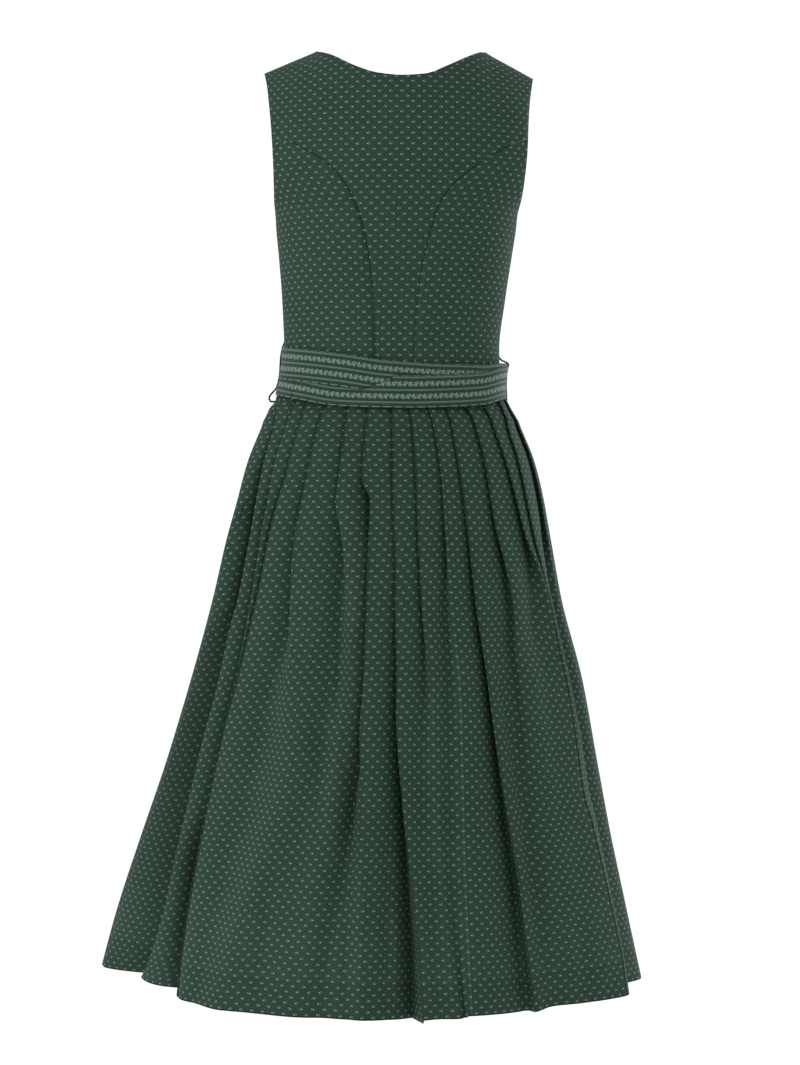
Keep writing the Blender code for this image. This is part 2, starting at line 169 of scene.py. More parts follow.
Turn = namedtuple("Turn", "bearing upper_top lower_bottom")

RIBBON_PATH = rows(
    Turn,
    (-180, -336, -382), (-135, -331, -382), (-90, -328.2, -382.6), (-70, -330.6, -386),
    (-50, -334.1, -391.3), (-25, -340.4, -399.5), (-5, -347.2, -401.5), (10, -349.8, -402),
    (25, -351.4, -401), (50, -351.5, -397.5), (72, -348.5, -390), (90, -347, -387), (135, -342, -384),
    (180, -336, -382),
)

Crossing = namedtuple("Crossing", "start end start_height end_height spread")
BACK_CROSSING = Crossing(-13.5, 0.0, -380.0, -370.5, 4.0)
FRONT_CROSSING = Crossing(160.0, 173.0, -362.0, -352.0, 4.0)
RIBBON_LAYER = 1.4

# ---- Pleats ----

# A pleat's crisp edge points to lower bearings, and its cloth runs under it and back. line is the edge's
# bearing, opening the angle in degrees from shut flat (0) past a standing fold (about 60) to a wide wave
# (90), soft the radius in millimetres that its bends are rounded to, and spare how much cloth it holds,
# each by height. set_back is how far behind the outline its edge lies at the hem, sag how far the hem of
# the cloth under it hangs below the edge's own, and shade how strongly painted shade darkens the cloth's
# colour in the pocket under it, standing in for the shadow there, and how far out that reaches, as
# (height, strength, reach).
PLAIN_SHADE = ((-400, 0.5, 2), (-1052, 0.5, 2))
Fold = namedtuple("Fold", "line opening soft spare set_back sag shade", defaults=(0, 0, PLAIN_SHADE))
Shade = namedtuple("Shade", "height strength reach")
SIDE_RIDGE_SHADE = (
    (-400, 0.5, 2), (-560, 0.5, 2), (-620, 0.1, 2), (-780, 0, 2), (-840, 0.4, 2), (-900, 0, 2)
)

BACK_FOLDS = (
    Fold(
        line={-400: -80, -560: -79, -800: -83, -1052: -86},
        opening={-400: 14, -560: 24, -700: 42, -1052: 64},
        soft={-400: 0, -520: 2, -700: 8, -1052: 12},
        spare={-400: 30, -560: 18, -1052: 4},
    ),
    Fold(
        line={
            -400: -68, -419: -62.4, -461: -60, -504: -59.4, -550: -57.6, -617: -58.3, -658: -60,
            -714: -60.6, -789: -62.7, -955: -62.6, -988: -63.9, -1016: -66.4, -1041: -69.8, -1052: -72.5,
        },
        opening={
            -400: 20, -440: 40, -480: 74, -520: 103, -620: 96, -728: 87, -842: 78, -955: 62, -1052: 65,
        },
        soft={-400: 0, -700: 0.4, -1052: 2},
        spare={-400: 44, -460: 27, -520: 24, -620: 18, -728: 13.5, -842: 12, -1052: 10},
        set_back=40,
        shade=(
            (-400, 0.5, 2), (-440, 0.7, 4), (-480, 0.8, 8), (-560, 0.8, 9), (-620, 0.7, 12),
            (-680, 0.42, 30), (-760, 0.42, 44), (-850, 0.4, 46), (-900, 0.36, 46), (-960, 0.26, 42),
            (-1052, 0.14, 36),
        ),
    ),
    Fold(
        line={
            -400: -55.5, -409: -53.1, -454: -52.5, -519: -51.4, -565: -50.4, -630: -50, -661: -49.9,
            -712: -50.3, -759: -51.1, -805: -50.9, -904: -49.3, -988: -48.5, -1052: -48,
        },
        opening={
            -400: 20, -440: 34, -480: 56, -520: 80, -620: 75, -728: 81, -842: 83, -955: 86, -1005: 78,
            -1052: 55,
        },
        soft={-400: 0, -1052: 0.8},
        spare={-400: 44, -460: 26, -520: 15, -620: 14, -728: 18, -842: 21, -955: 28, -1005: 28, -1052: 36},
        set_back=28,
        sag=-2.5,
        shade=(
            (-400, 0.5, 2), (-620, 0.4, 3), (-840, 0.4, 4), (-900, 0.65, 18), (-960, 0.6, 16),
            (-1052, 0.5, 14),
        ),
    ),
    Fold(
        line={
            -400: -46.5, -418: -43.9, -475: -43.9, -497: -45.4, -528: -46.2, -590: -46.7, -630: -47.6,
            -659: -48.2, -712: -49.3, -759: -50.4, -805: -50.2, -904: -48.7, -988: -47.9, -1052: -47.5,
        },
        opening={-400: 20, -440: 34, -480: 56, -520: 78, -600: 80, -1052: 60},
        soft={-400: 0, -1052: 0},
        spare={-400: 44, -460: 24, -520: 12, -600: 10, -660: 4, -1052: 4},
        set_back=28,
    ),
    Fold(
        line={
            -400: -33, -467: -33.2, -508: -34, -565: -33.6, -605: -32.6, -680: -30.5, -800: -26, -850: -26,
            -895: -27.5, -940: -29, -1005: -31, -1052: -32.3,
        },
        opening={-400: 20, -440: 28, -480: 40, -520: 50, -620: 52, -740: 80, -1052: 88},
        soft={-400: 0, -500: 0.5, -600: 4, -720: 9, -1052: 8},
        spare={-400: 44, -460: 30, -520: 20, -600: 24, -850: 14, -1052: 8},
    ),
    Fold(
        line={
            -400: -20.5, -432: -19.6, -501: -19.9, -549: -16.7, -615: -14.5, -722: -12.5, -828: -12.5,
            -1052: -16,
        },
        opening={-400: 18, -440: 26, -500: 30, -600: 40, -720: 58, -1052: 90},
        soft={-400: 0, -480: 0.5, -540: 5, -640: 11, -800: 12, -1052: 16},
        spare={-400: 44, -500: 26, -600: 28, -720: 24, -850: 8, -1052: 4},
    ),
    Fold(
        line={
            -400: -10.3, -477: -10.8, -488: -10, -503: -7.2, -587: -6.2, -640: -5.9, -740: -6.2, -800: -5,
            -905: -4, -1052: -3.5,
        },
        opening={-400: 18, -476: 18, -492: 50, -530: 50, -570: 34, -740: 42, -860: 72, -1052: 84},
        soft={-400: 0, -620: 0.3, -780: 1.5, -860: 7, -1052: 10},
        spare={-400: 44, -560: 34, -740: 20, -1052: 8},
        shade=(
            (-400, 0.5, 2), (-620, 0.4, 3), (-680, 0.16, 26), (-760, 0.24, 34), (-840, 0.26, 34),
            (-890, 0.1, 30), (-950, 0, 20),
        ),
    ),
    Fold(
        line={-400: 1, -477: 1, -587: 3, -722: 3.2, -827: 5.9, -910: 8.8, -1002: 10.8, -1052: 10.9},
        opening={-400: 14, -560: 18, -680: 38, -800: 50, -1052: 56},
        soft={-400: 0, -800: 0.5, -1052: 1.5},
        spare={-400: 44, -1052: 42},
        sag=3.5,
    ),
    Fold(
        line={-400: 9.3, -516: 10, -587: 11, -650: 11.7, -750: 13.5, -900: 14.8, -1052: 17.7},
        opening={-400: 14, -560: 24, -640: 36, -760: 66, -1052: 88},
        soft={-400: 0, -600: 0.3, -680: 2, -780: 9, -1052: 12},
        spare={-400: 44, -560: 30, -700: 10, -1052: 4},
    ),
    Fold(
        line={-400: 18.5, -458: 19.5, -560: 20, -657: 20.1, -930: 19.4, -1052: 19.8},
        opening={-400: 14, -460: 18, -540: 30, -640: 55, -780: 80, -1052: 60},
        soft={-400: 0, -450: 0.5, -520: 2.5, -640: 8, -900: 9, -1052: 5},
        spare={-400: 44, -540: 30, -640: 20, -780: 8, -1052: 8},
    ),
    Fold(
        line={-400: 28, -446: 27.2, -503: 28, -604: 29.6, -722: 30.4, -817: 32.5, -933: 35.2, -1052: 35.6},
        opening={-400: 14, -500: 20, -600: 30, -760: 34, -1052: 36},
        soft={-400: 0, -900: 0.4, -980: 5, -1052: 7},
        spare={-400: 44, -1052: 36},
        sag=2.5,
        shade=((-400, 0.5, 2), (-640, 0.3, 2), (-880, 0.2, 2), (-960, 0, 2)),
    ),
    Fold(
        line={
            -400: 40, -503: 40, -530: 40.5, -564: 42.6, -618: 44.5, -680: 41.8, -790: 41.5, -960: 42.5,
            -1052: 43.5,
        },
        opening={-400: 14, -500: 18, -560: 24, -640: 34, -740: 52, -1052: 84},
        soft={-400: 0, -540: 0.4, -600: 5, -800: 9, -1052: 10},
        spare={-400: 44, -560: 36, -700: 18, -1052: 6},
    ),
    Fold(
        line={
            -400: 53, -425: 51.3, -488: 53, -542: 55.5, -589: 61, -617: 62.5, -691: 60.3, -763: 60.2,
            -836: 59, -863: 60.4, -929: 61.2, -998: 60.8, -1052: 58.8,
        },
        opening={-400: 14, -540: 20, -600: 50, -660: 80, -1052: 88},
        soft={-400: 0, -540: 0.5, -620: 5, -1052: 7},
        spare={-400: 40, -540: 34, -620: 8, -700: 1, -1052: 1},
        set_back=-18,
        shade=SIDE_RIDGE_SHADE,
    ),
    Fold(
        line={
            -400: 67, -431: 61.8, -497: 60.6, -548: 61.7, -617: 63.5, -691: 61.3, -763: 61.2, -836: 60,
            -863: 61.4, -929: 62.2, -998: 61.8, -1052: 59.8,
        },
        opening={-400: 14, -540: 20, -600: 40, -700: 70, -1052: 76},
        soft={-400: 0, -560: 0.5, -640: 4, -720: 5, -800: 4, -850: 3, -900: 4.5, -1052: 5},
        spare={-400: 40, -580: 30, -660: 8, -740: 3, -800: 3, -850: 6, -900: 3, -1052: 2},
        set_back=-18,
        shade=SIDE_RIDGE_SHADE,
    ),
    Fold(
        line={-400: 78, -560: 76, -800: 77, -1052: 80},
        opening={-400: 14, -520: 20, -620: 60, -1052: 80},
        soft={-400: 0, -520: 1, -620: 7, -1052: 10},
        spare={-400: 30, -520: 20, -620: 12, -1052: 12},
    ),
)

# The hidden front repeats a few kinds of pleat at an even pitch at the waist: one that stays sharp to the
# hem, and softer ones that open at different heights.
FRONT_FOLD_COUNT = 15
FRONT_FOLD_PITCH = 12.0
FoldKind = namedtuple("FoldKind", "shift_hem opening soft spare")
FRONT_FOLD_KINDS = (
    FoldKind(
        shift_hem=1.5,
        opening={-400: 14, -560: 10, -700: 22, -1052: 50},
        soft={-400: 0, -1052: 1.5},
        spare={-400: 44, -1052: 38},
    ),
    FoldKind(
        shift_hem=-1.0,
        opening={-400: 14, -500: 12, -640: 45, -1052: 86},
        soft={-400: 0, -480: 1, -620: 8, -1052: 13},
        spare={-400: 44, -560: 28, -700: 10, -1052: 6},
    ),
    FoldKind(
        shift_hem=0.5,
        opening={-400: 14, -620: 14, -780: 48, -1052: 74},
        soft={-400: 0, -640: 0.5, -780: 6, -1052: 9},
        spare={-400: 44, -700: 26, -1052: 14},
    ),
    FoldKind(
        shift_hem=-1.5,
        opening={-400: 14, -460: 14, -580: 50, -1052: 88},
        soft={-400: 0, -440: 1, -560: 8, -1052: 14},
        spare={-400: 44, -520: 22, -700: 8, -1052: 5},
    ),
)
FOLD_NOSE_WAIST, FOLD_NOSE_HEM, NOSE_SHARE = 1.3, 3.0, 0.45

# A soft crease: where it starts and ends, across and up, the depth of its trough (below zero it is a ridge)
# and how far it spreads to each side.
Crease = namedtuple("Crease", "across height end_across end_height depth spread")
Creases = namedtuple("Creases", "back front")
# A crease's depth follows this much of half a wave, and runs out past its ends by a share of its spread.
CREASE_LEAD, CREASE_BODY, CREASE_RUN_OUT = 0.12, 0.76, 1.6

SKIRT_CREASES = Creases(
    back=rows(
        Crease,
        (-68, -530, -66, -800, 7, 13), (-60, -640, -60, -790, 2, 3.5), (-75, -650, -77, -800, -1.6, 3.5),
        (-88, -740, -82, -880, 4, 10), (-51, -790, -53, -930, 5, 8), (-54, -910, -56, -1060, 5.5, 8),
        (-41, -780, -40, -1060, -2.5, 6), (-12, -850, -11.6, -1060, 4, 7), (-2, -940, -2, -1030, -3, 6),
        (107, -650, 133, -815, 4, 8), (40.5, -870, 40.5, -950, 3, 7), (160, -920, 165, -1050, -3.5, 7),
        (155, -570, 199, -772, -3, 5), (199, -762, 259, -1050, -4.5, 6), (190, -960, 202, -1056, 3.5, 8),
        (-198, -600, -186, -650, -1.6, 4), (-206, -640, -191, -668, -1.4, 4),
        (-140, -900, -152, -1040, 3, 9),
    ),
    front=rows(
        Crease,
        (-120, -640, -150, -900, 4, 9), (-60, -760, -66, -1050, 4.5, 9), (-20, -820, -16, -1040, -3.5, 7),
        (34, -560, 40, -760, 3.5, 9), (70, -880, 78, -1050, 4, 8), (128, -620, 160, -880, -3, 7),
    ),
)
# An open pleat's panel is hollow next to its edge: how much, and from what opening over how many degrees.
PANEL_BELLY, BELLY_FROM, BELLY_RUN = 1.2, 12, 33
# The pleats whose edges keep to one thread from waist to hem, and the one whose edge is the seam between
# two widths of cloth, counted from the side seam.
BACK_KEPT, BACK_WIDTHS_JOIN = (0, 2, 4, 10, 13, 16), 10
FRONT_KEPT, FRONT_WIDTHS_JOIN = (0, 4, 8, 12, 16), 8
HEM_LIFT = {
    -180: 0, -90: 6, -75: 4, -60: 0, -35: -2, -10: -3, 10: -1, 19.5: 0.4, 20.2: 2.8, 24: 3.2, 33: 4, 45: 9,
    60: 12, 68: 13, 80: 13.5, 90: 12.5, 180: 0, 270: 6,
}
SIDE_SEAM_DEPTH, SIDE_SEAM_DIP, SIDE_SEAM_SPREAD = 1.0, 0.6, 2.0
# How far the skirt stands out beyond its outline at the sides.
Swell = namedtuple("Swell", "height left right")
SIDE_SWELL = rows(
    Swell,
    (-384, 10.5, 4), (-391, 6.7, 6.5), (-399, 7.5, 7.5), (-406, 4.2, 5), (-413, 2.6, 3), (-421, 1.2, 1.6),
    (-440, 1.2, 1.8), (-480, 1.4, 1.8), (-540, 0.8, 1.2), (-640, 0.3, 1.6), (-740, -0.5, 1),
    (-880, -2.2, 0.6), (-940, -1.8, 1), (-1052, 0, 1),
)
# The swell comes in where the sine of the bearing passes this.
SWELL_FROM, SWELL_RUN = 0.75, 0.2
TOP_POINTS, BACK_POINTS = 15, 5
SEAM_SOFTNESS = 3.0
CLOSED_GIVE = 20.0
SOFTENING_PASSES = 80
SOFTENING_PITCH = 2.0
SKIRT_ROWS = 92
HEM_TURN_ROWS = 7
HEM_DEPTH = 40.0
HEM_TURN_GAP = 1.0

# ---- Settings that a user would change ----


class DirndlCloth(bpy.types.PropertyGroup):
    """The green cotton of the bodice and the skirt."""

    bodice_wall: bpy.props.FloatProperty(
        name="Bodice wall", description="Thickness of the bodice's cloth", default=1.1 * MM, unit="LENGTH"
    )
    skirt_wall: bpy.props.FloatProperty(
        name="Skirt wall", description="Thickness of the skirt's cloth", default=0.6 * MM, unit="LENGTH"
    )
    ground: bpy.props.FloatVectorProperty(
        name="Ground",
        description="Colour of the plain cotton",
        subtype="COLOR",
        size=3,
        default=(0.032, 0.066, 0.047),
    )
    figure: bpy.props.FloatVectorProperty(
        name="Figure",
        description="Colour of the pale yarn in the small woven figures",
        subtype="COLOR",
        size=3,
        default=(0.46, 0.63, 0.50),
    )
    fineness: bpy.props.FloatProperty(
        name="Fineness", description="How small the figures are in their repeat", default=1.14, min=0.5
    )
    across: bpy.props.FloatProperty(
        name="Repeat across",
        description="Distance between figures along a row",
        default=12.5 * MM,
        unit="LENGTH",
    )
    up: bpy.props.FloatProperty(
        name="Repeat up",
        description="Distance between rows of the same figure",
        default=12.0 * MM,
        unit="LENGTH",
    )


class DirndlRibbon(bpy.types.PropertyGroup):
    """The woven ribbon that is tied round the waist."""

    wall: bpy.props.FloatProperty(
        name="Ribbon wall", description="Thickness of the ribbon", default=0.8 * MM, unit="LENGTH"
    )
    ground: bpy.props.FloatVectorProperty(
        name="Ground",
        description="Colour of the ribbon's ground",
        subtype="COLOR",
        size=3,
        default=(0.025, 0.052, 0.039),
    )
    stripe: bpy.props.FloatVectorProperty(
        name="Stripe",
        description="Colour of the smooth stripes",
        subtype="COLOR",
        size=3,
        default=(0.112, 0.176, 0.139),
    )
    figure: bpy.props.FloatVectorProperty(
        name="Figure",
        description="Colour of the woven figures",
        subtype="COLOR",
        size=3,
        default=(0.30, 0.43, 0.35),
    )
    repeat: bpy.props.FloatProperty(
        name="Repeat",
        description="Length of one woven figure along the ribbon",
        default=12.0 * MM,
        unit="LENGTH",
    )


class DirndlStage(bpy.types.PropertyGroup):
    """The plain studio round the dress."""

    floor_height: bpy.props.FloatProperty(
        name="Floor height",
        description="Height of the floor in the dress's frame",
        default=-1.42,
        unit="LENGTH",
    )
    floor_radius: bpy.props.FloatProperty(
        name="Floor radius", description="Radius of the round floor", default=1.3, unit="LENGTH"
    )
    world_strength: bpy.props.FloatProperty(
        name="Studio light", description="Strength of the even light from all round", default=0.685, min=0.0
    )
    key_power: bpy.props.FloatProperty(
        name="Key light",
        description="Power of the large soft light on the left",
        default=40.5,
        unit="POWER",
    )
    fill_power: bpy.props.FloatProperty(
        name="Fill light", description="Power of the soft light on the right", default=60.0, unit="POWER"
    )


# ---- Curves and surfaces ----

ARC_STEPS, CAP_STEPS = 24, 12


def mix(a, b, share):
    return a + (b - a) * share


def bell(distance, spread):
    return np.exp(-((distance / spread) ** 2))


def smooth_curve(values):
    """A function that reads a smooth curve through values by position, level at each turning point."""
    at, value = (np.array(column, float) for column in zip(*sorted(values.items())))
    run = np.diff(at)
    rise = np.diff(value) / run
    before, after = rise[:-1], rise[1:]
    same_way = before * after > 0
    total = np.where(same_way, before + after, 1.0)
    inner = np.where(same_way, 2 * before * after / total, 0.0)
    slope = np.concatenate([rise[:1], inner, rise[-1:]])

    def read(where):
        where = np.clip(where, at[0], at[-1])
        i = np.clip(np.searchsorted(at, where, side="right") - 1, 0, len(run) - 1)
        t = (where - at[i]) / run[i]
        return (
            value[i] * (1 + 2 * t) * (1 - t) ** 2
            + value[i + 1] * t**2 * (3 - 2 * t)
            + slope[i] * run[i] * t * (1 - t) ** 2
            - slope[i + 1] * run[i] * t**2 * (1 - t)
        )

    return read


def column_curve(table, column):
    """The smooth curve of a table's column against its first column."""
    return smooth_curve({row[0]: getattr(row, column) for row in table})


class Outline:
    """Level sections of the dress, with a point for each bearing and height."""

    def __init__(self, sections, fullness):
        self.curves = {name: column_curve(sections, name) for name in Section._fields[1:]}
        self.fullness = fullness

    def centre_and_half(self, height):
        left, right = self.curves["left"](height), self.curves["right"](height)
        return (left + right) / 2, (right - left) / 2

    def point(self, bearing, height, lift=0.0):
        """The (x, y) arrays at these bearings and heights, moved out by lift."""
        centre, half = self.centre_and_half(height)
        turn = np.radians(bearing)
        to_back = np.cos(turn)
        depth = np.where(to_back > 0, self.curves["back"](height), self.curves["front"](height)) + lift
        x = centre + (half + lift) * np.sin(turn)
        return x, -np.sign(to_back) * depth * np.abs(to_back) ** self.fullness

    def arc(self, start, end, height):
        """The signed length along the section from bearing start to bearing end."""
        shares = np.linspace(0, 1, ARC_STEPS + 1)
        shape = np.broadcast(start, end, height).shape
        start, end, height = (
            np.broadcast_to(np.asarray(value, float), shape)[..., None] for value in (start, end, height)
        )
        x, y = self.point(mix(start, end, shares), height)
        length = np.hypot(np.diff(x), np.diff(y)).sum(-1)
        return length * np.sign(end - start)[..., 0]

    def bearing_across(self, across, height, front=False):
        """The bearing of the point that lies this far across at this height."""
        centre, half = self.centre_and_half(height)
        turn = np.degrees(np.arcsin(np.clip((across - centre) / half, -1, 1)))
        return np.copysign(180.0, turn) - turn if front else turn


bodice_outline = Outline(BODICE_SECTIONS, BODICE_FULLNESS)
skirt_outline = Outline(SKIRT_SECTIONS, SKIRT_FULLNESS)
ribbon_outline = Outline(RIBBON_SECTIONS, BODICE_FULLNESS)
neckline = column_curve(BACK_NECKLINE, "height")


def top_edge(across):
    """The height of the bodice's top edge: straight along a shoulder seam, curved along the neckline."""
    heights = neckline(across)
    for side in SIDES:
        neck, tip = NECK_POINTS[side], SHOULDER_TIPS[side]
        share = (across - neck.across) / (tip.across - neck.across)
        heights = np.where(share > 0, mix(neck.height, tip.height, share), heights)
    return heights


def shoulder_ridge(across, front):
    """(y, z) of the line that the bodice curves up to: a shoulder seam, or between them the neck."""
    side = np.where(front, 1.0, -1.0)
    half = np.where(across < 0, NECK_POINTS["left"].across, NECK_POINTS["right"].across)
    share = np.clip(across / half, 0, 1)
    reach = np.where(front, NECK_TO_FRONT, NECK_TO_BACK) * np.sqrt(1 - share**2)
    return side * (SHOULDER_GAP + reach), np.where(share < 1, NECK_POINT, top_edge(across))


def bodice_point(bearing, height):
    """Points on the outside of the bodice, and the length of cloth that each lies above the chest line."""
    x, y = bodice_outline.point(bearing, height)
    front = y > 0
    for side in (-1, 1):
        away = ((x - side * BUST_ACROSS) ** 2 + (height - BUST_HEIGHT) ** 2) / BUST_SPREAD**2
        y = y + np.where(front, BUST_RISE * np.exp(-away), 0.0)
    ridge_y, ridge_z = shoulder_ridge(x, front)
    rise = np.clip((height - CHEST) / (ridge_z - CHEST), 0, 1)
    reach = np.abs(ridge_y - y)
    y = mix(y, ridge_y, 1 - np.sqrt(1 - rise**2))
    turn = np.arcsin(rise)[..., None] * (np.arange(CAP_STEPS) + 0.5) / CAP_STEPS
    speed = np.hypot((ridge_z - CHEST)[..., None] * np.cos(turn), reach[..., None] * np.sin(turn))
    over = np.arcsin(rise) * speed.mean(-1)
    return np.stack([x, y, height], -1), np.where(rise > 0, over, height - CHEST)


# ---- Meshes ----

# A closed turn's first and last points are one where they lie this near.
CLOSING_REACH = 0.01


def cloth_grid(name, points, weave, attributes, closed=False):
    """A sheet of cloth as a new object. points has a row for each level from the bottom up and a column
    for each place round, in millimetres, and weave says where each lies in the flat cloth."""
    levels, columns = points.shape[:2]
    bm = bmesh.new()
    bmesh.ops.create_grid(bm, x_segments=columns - 1, y_segments=levels - 1, size=0.5)
    if len(bm.verts) != levels * columns:
        raise RuntimeError(f"{name}: the grid has {len(bm.verts)} points and not {levels * columns}")
    layers = {key: bm.verts.layers.float.new(key) for key in attributes}
    uv = bm.loops.layers.uv.new(CLOTH_UV)
    place = {
        vert.index: (round((vert.co.y + 0.5) * (levels - 1)), round((vert.co.x + 0.5) * (columns - 1)))
        for vert in bm.verts
    }
    for face in bm.faces:
        for loop in face.loops:
            loop[uv].uv = weave[place[loop.vert.index]] * MM
    for vert in bm.verts:
        row, column = place[vert.index]
        vert.co = Vector(points[row, column]) * MM
        for key, layer in layers.items():
            vert[layer] = float(attributes[key][row, column])
    if closed:
        bmesh.ops.remove_doubles(bm, verts=bm.verts, dist=CLOSING_REACH * MM)
    mesh = bpy.data.meshes.new(name)
    bm.to_mesh(mesh)
    bm.free()
    mesh.shade_smooth()
    return new_object(name, mesh)


def new_object(name, data):
    obj = bpy.data.objects.new(name, data)
    bpy.context.scene.collection.objects.link(obj)
    return obj


def give_wall(obj, thickness, outwards=False):
    wall = obj.modifiers.new("Wall", "SOLIDIFY")
    wall.thickness = thickness
    wall.offset = 1.0 if outwards else -1.0
    wall.use_even_offset = False


def finish_piece(obj, material, node):
    """Gives a piece its material and hangs it on the dress in place of its solid."""
    obj.data.materials.append(material)
    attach(obj, BODY)
    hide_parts(node)


def distance_to_sides(points):
    """How far each point of a grid is from the nearer of its left and right edges, in millimetres."""
    along = np.linalg.norm(np.diff(points, axis=1), axis=2)
    from_left = np.concatenate([np.zeros((len(points), 1)), np.cumsum(along, axis=1)], axis=1)
    return np.minimum(from_left, from_left[:, -1:] - from_left)


# ---- Shading ----


class Value:
    """A number that varies over a surface, with Python's own operators."""

    def __init__(self, graph, socket):
        self.graph, self.socket = graph, socket

    def math(self, operation, *others):
        inputs = dict(enumerate((self, *others)))
        node = self.graph.add("ShaderNodeMath", {"operation": operation}, inputs)
        return Value(self.graph, node.outputs[0])

    __add__ = __radd__ = partialmethod(math, "ADD")
    __sub__ = partialmethod(math, "SUBTRACT")
    __mul__ = __rmul__ = partialmethod(math, "MULTIPLY")
    __truediv__ = partialmethod(math, "DIVIDE")
    __pow__ = partialmethod(math, "POWER")
    __gt__ = partialmethod(math, "GREATER_THAN")
    __abs__ = partialmethod(math, "ABSOLUTE")
    fraction = partialmethod(math, "FRACT")
    at_least = partialmethod(math, "MAXIMUM")

    def __neg__(self):
        return self * -1.0

    def __rsub__(self, other):
        return -self + other

    def wave(self, pitch):
        """A sine of this pitch, from -1 to 1."""
        return (self * (2 * math.pi / pitch)).math("SINE")

    def cell(self, pitch, shift=0.0):
        """The distance from the nearest of evenly pitched lines, signed."""
        return ((self / pitch + (0.5 - shift)).fraction() - 0.5) * pitch

    def step(self, low, high):
        """0 on low's side and 1 on high's, with a smooth rise between; low may be the higher one."""
        settings = {"interpolation_type": "SMOOTHSTEP", "clamp": True}
        inputs = {"Value": self, "From Min": low, "From Max": high}
        return Value(self.graph, self.graph.add("ShaderNodeMapRange", settings, inputs).outputs[0])


class Graph:
    """The nodes of a new material."""

    def __init__(self, name, roughness, sheen=0.0, specular=0.5):
        self.material = bpy.data.materials.new(name)
        self.material.use_nodes = True
        self.tree = self.material.node_tree
        self.inputs = self.tree.nodes["Principled BSDF"].inputs
        self.inputs["Metallic"].default_value = 0.0
        self.inputs["Roughness"].default_value = roughness
        self.inputs["Sheen Weight"].default_value = sheen
        self.inputs["Specular IOR Level"].default_value = specular

    def put(self, socket, value):
        """Sets a socket to a number or a colour, or links it."""
        if isinstance(value, Value):
            value = value.socket
        if isinstance(value, bpy.types.NodeSocket):
            self.tree.links.new(value, socket)
        elif hasattr(value, "__len__") and len(value) == 3 and socket.type == "RGBA":
            socket.default_value = (*value, 1.0)
        else:
            socket.default_value = value

    def add(self, kind, settings=None, inputs=None):
        """A node with its settings, and then the values or links of its sockets."""
        node = self.tree.nodes.new(kind)
        for key, value in (settings or {}).items():
            setattr(node, key, value)
        for key, value in (inputs or {}).items():
            self.put(node.inputs[key], value)
        return node

    def cloth_place(self):
        """How far across and up the flat cloth a point lies, in millimetres."""
        uv = self.add("ShaderNodeUVMap", {"uv_map": CLOTH_UV})
        apart = self.add("ShaderNodeSeparateXYZ", inputs={0: uv.outputs[0]})
        return [Value(self, apart.outputs[i]) * (1 / MM) for i in (0, 1)]

    def attribute(self, name):
        node = self.add("ShaderNodeAttribute", {"attribute_name": name})
        return Value(self, node.outputs["Fac"])

    def noise(self, pitch, detail=2.0, stretch=(1, 1, 1), in_cloth=False):
        """Smooth noise from 0 to 1, with features of about this size in millimetres, in the flat cloth or
        in space."""
        if in_cloth:
            source = self.add("ShaderNodeUVMap", {"uv_map": CLOTH_UV}).outputs[0]
        else:
            source = self.add("ShaderNodeTexCoord").outputs["Object"]
        scale = [1 / (pitch * MM * s) for s in stretch]
        spread = self.add("ShaderNodeMapping", inputs={"Vector": source, "Scale": scale})
        inputs = {"Vector": spread.outputs[0], "Scale": 1.0, "Detail": detail}
        return Value(self, self.add("ShaderNodeTexNoise", inputs=inputs).outputs["Fac"])

    def blend(self, share, a, b, kind="MIX"):
        """A colour between a and b."""
        settings = {"data_type": "RGBA", "blend_type": kind, "clamp_factor": True}
        node = self.add("ShaderNodeMix", settings)
        for index, value in ((0, share), (6, a), (7, b)):
            self.put(node.inputs[index], value)
        return node.outputs[2]

    def grey(self, value):
        """A number as a colour, to multiply others by."""
        return self.add("ShaderNodeCombineXYZ", inputs={0: value, 1: value, 2: value}).outputs[0]

    def finish(self, colour, height):
        """The material, once its colour and its bump height in millimetres are linked."""
        self.put(self.inputs["Base Color"], colour)
        bump = self.add("ShaderNodeBump", inputs={"Height": height * MM, "Distance": 1.0, "Strength": 1.0})
        self.put(self.inputs["Normal"], bump.outputs["Normal"])
        return self.material


RING_RADIUS = 1.25
WARP_PITCH, WEFT_PITCH = 0.42, 0.46
# Heights above the hem between which the seam of the widths fades in, and painted light makes the cloth
# paler.
WIDTH_SEAM_END, PAINTED_LIGHT_BELOW = (430, 380), (150, 60)


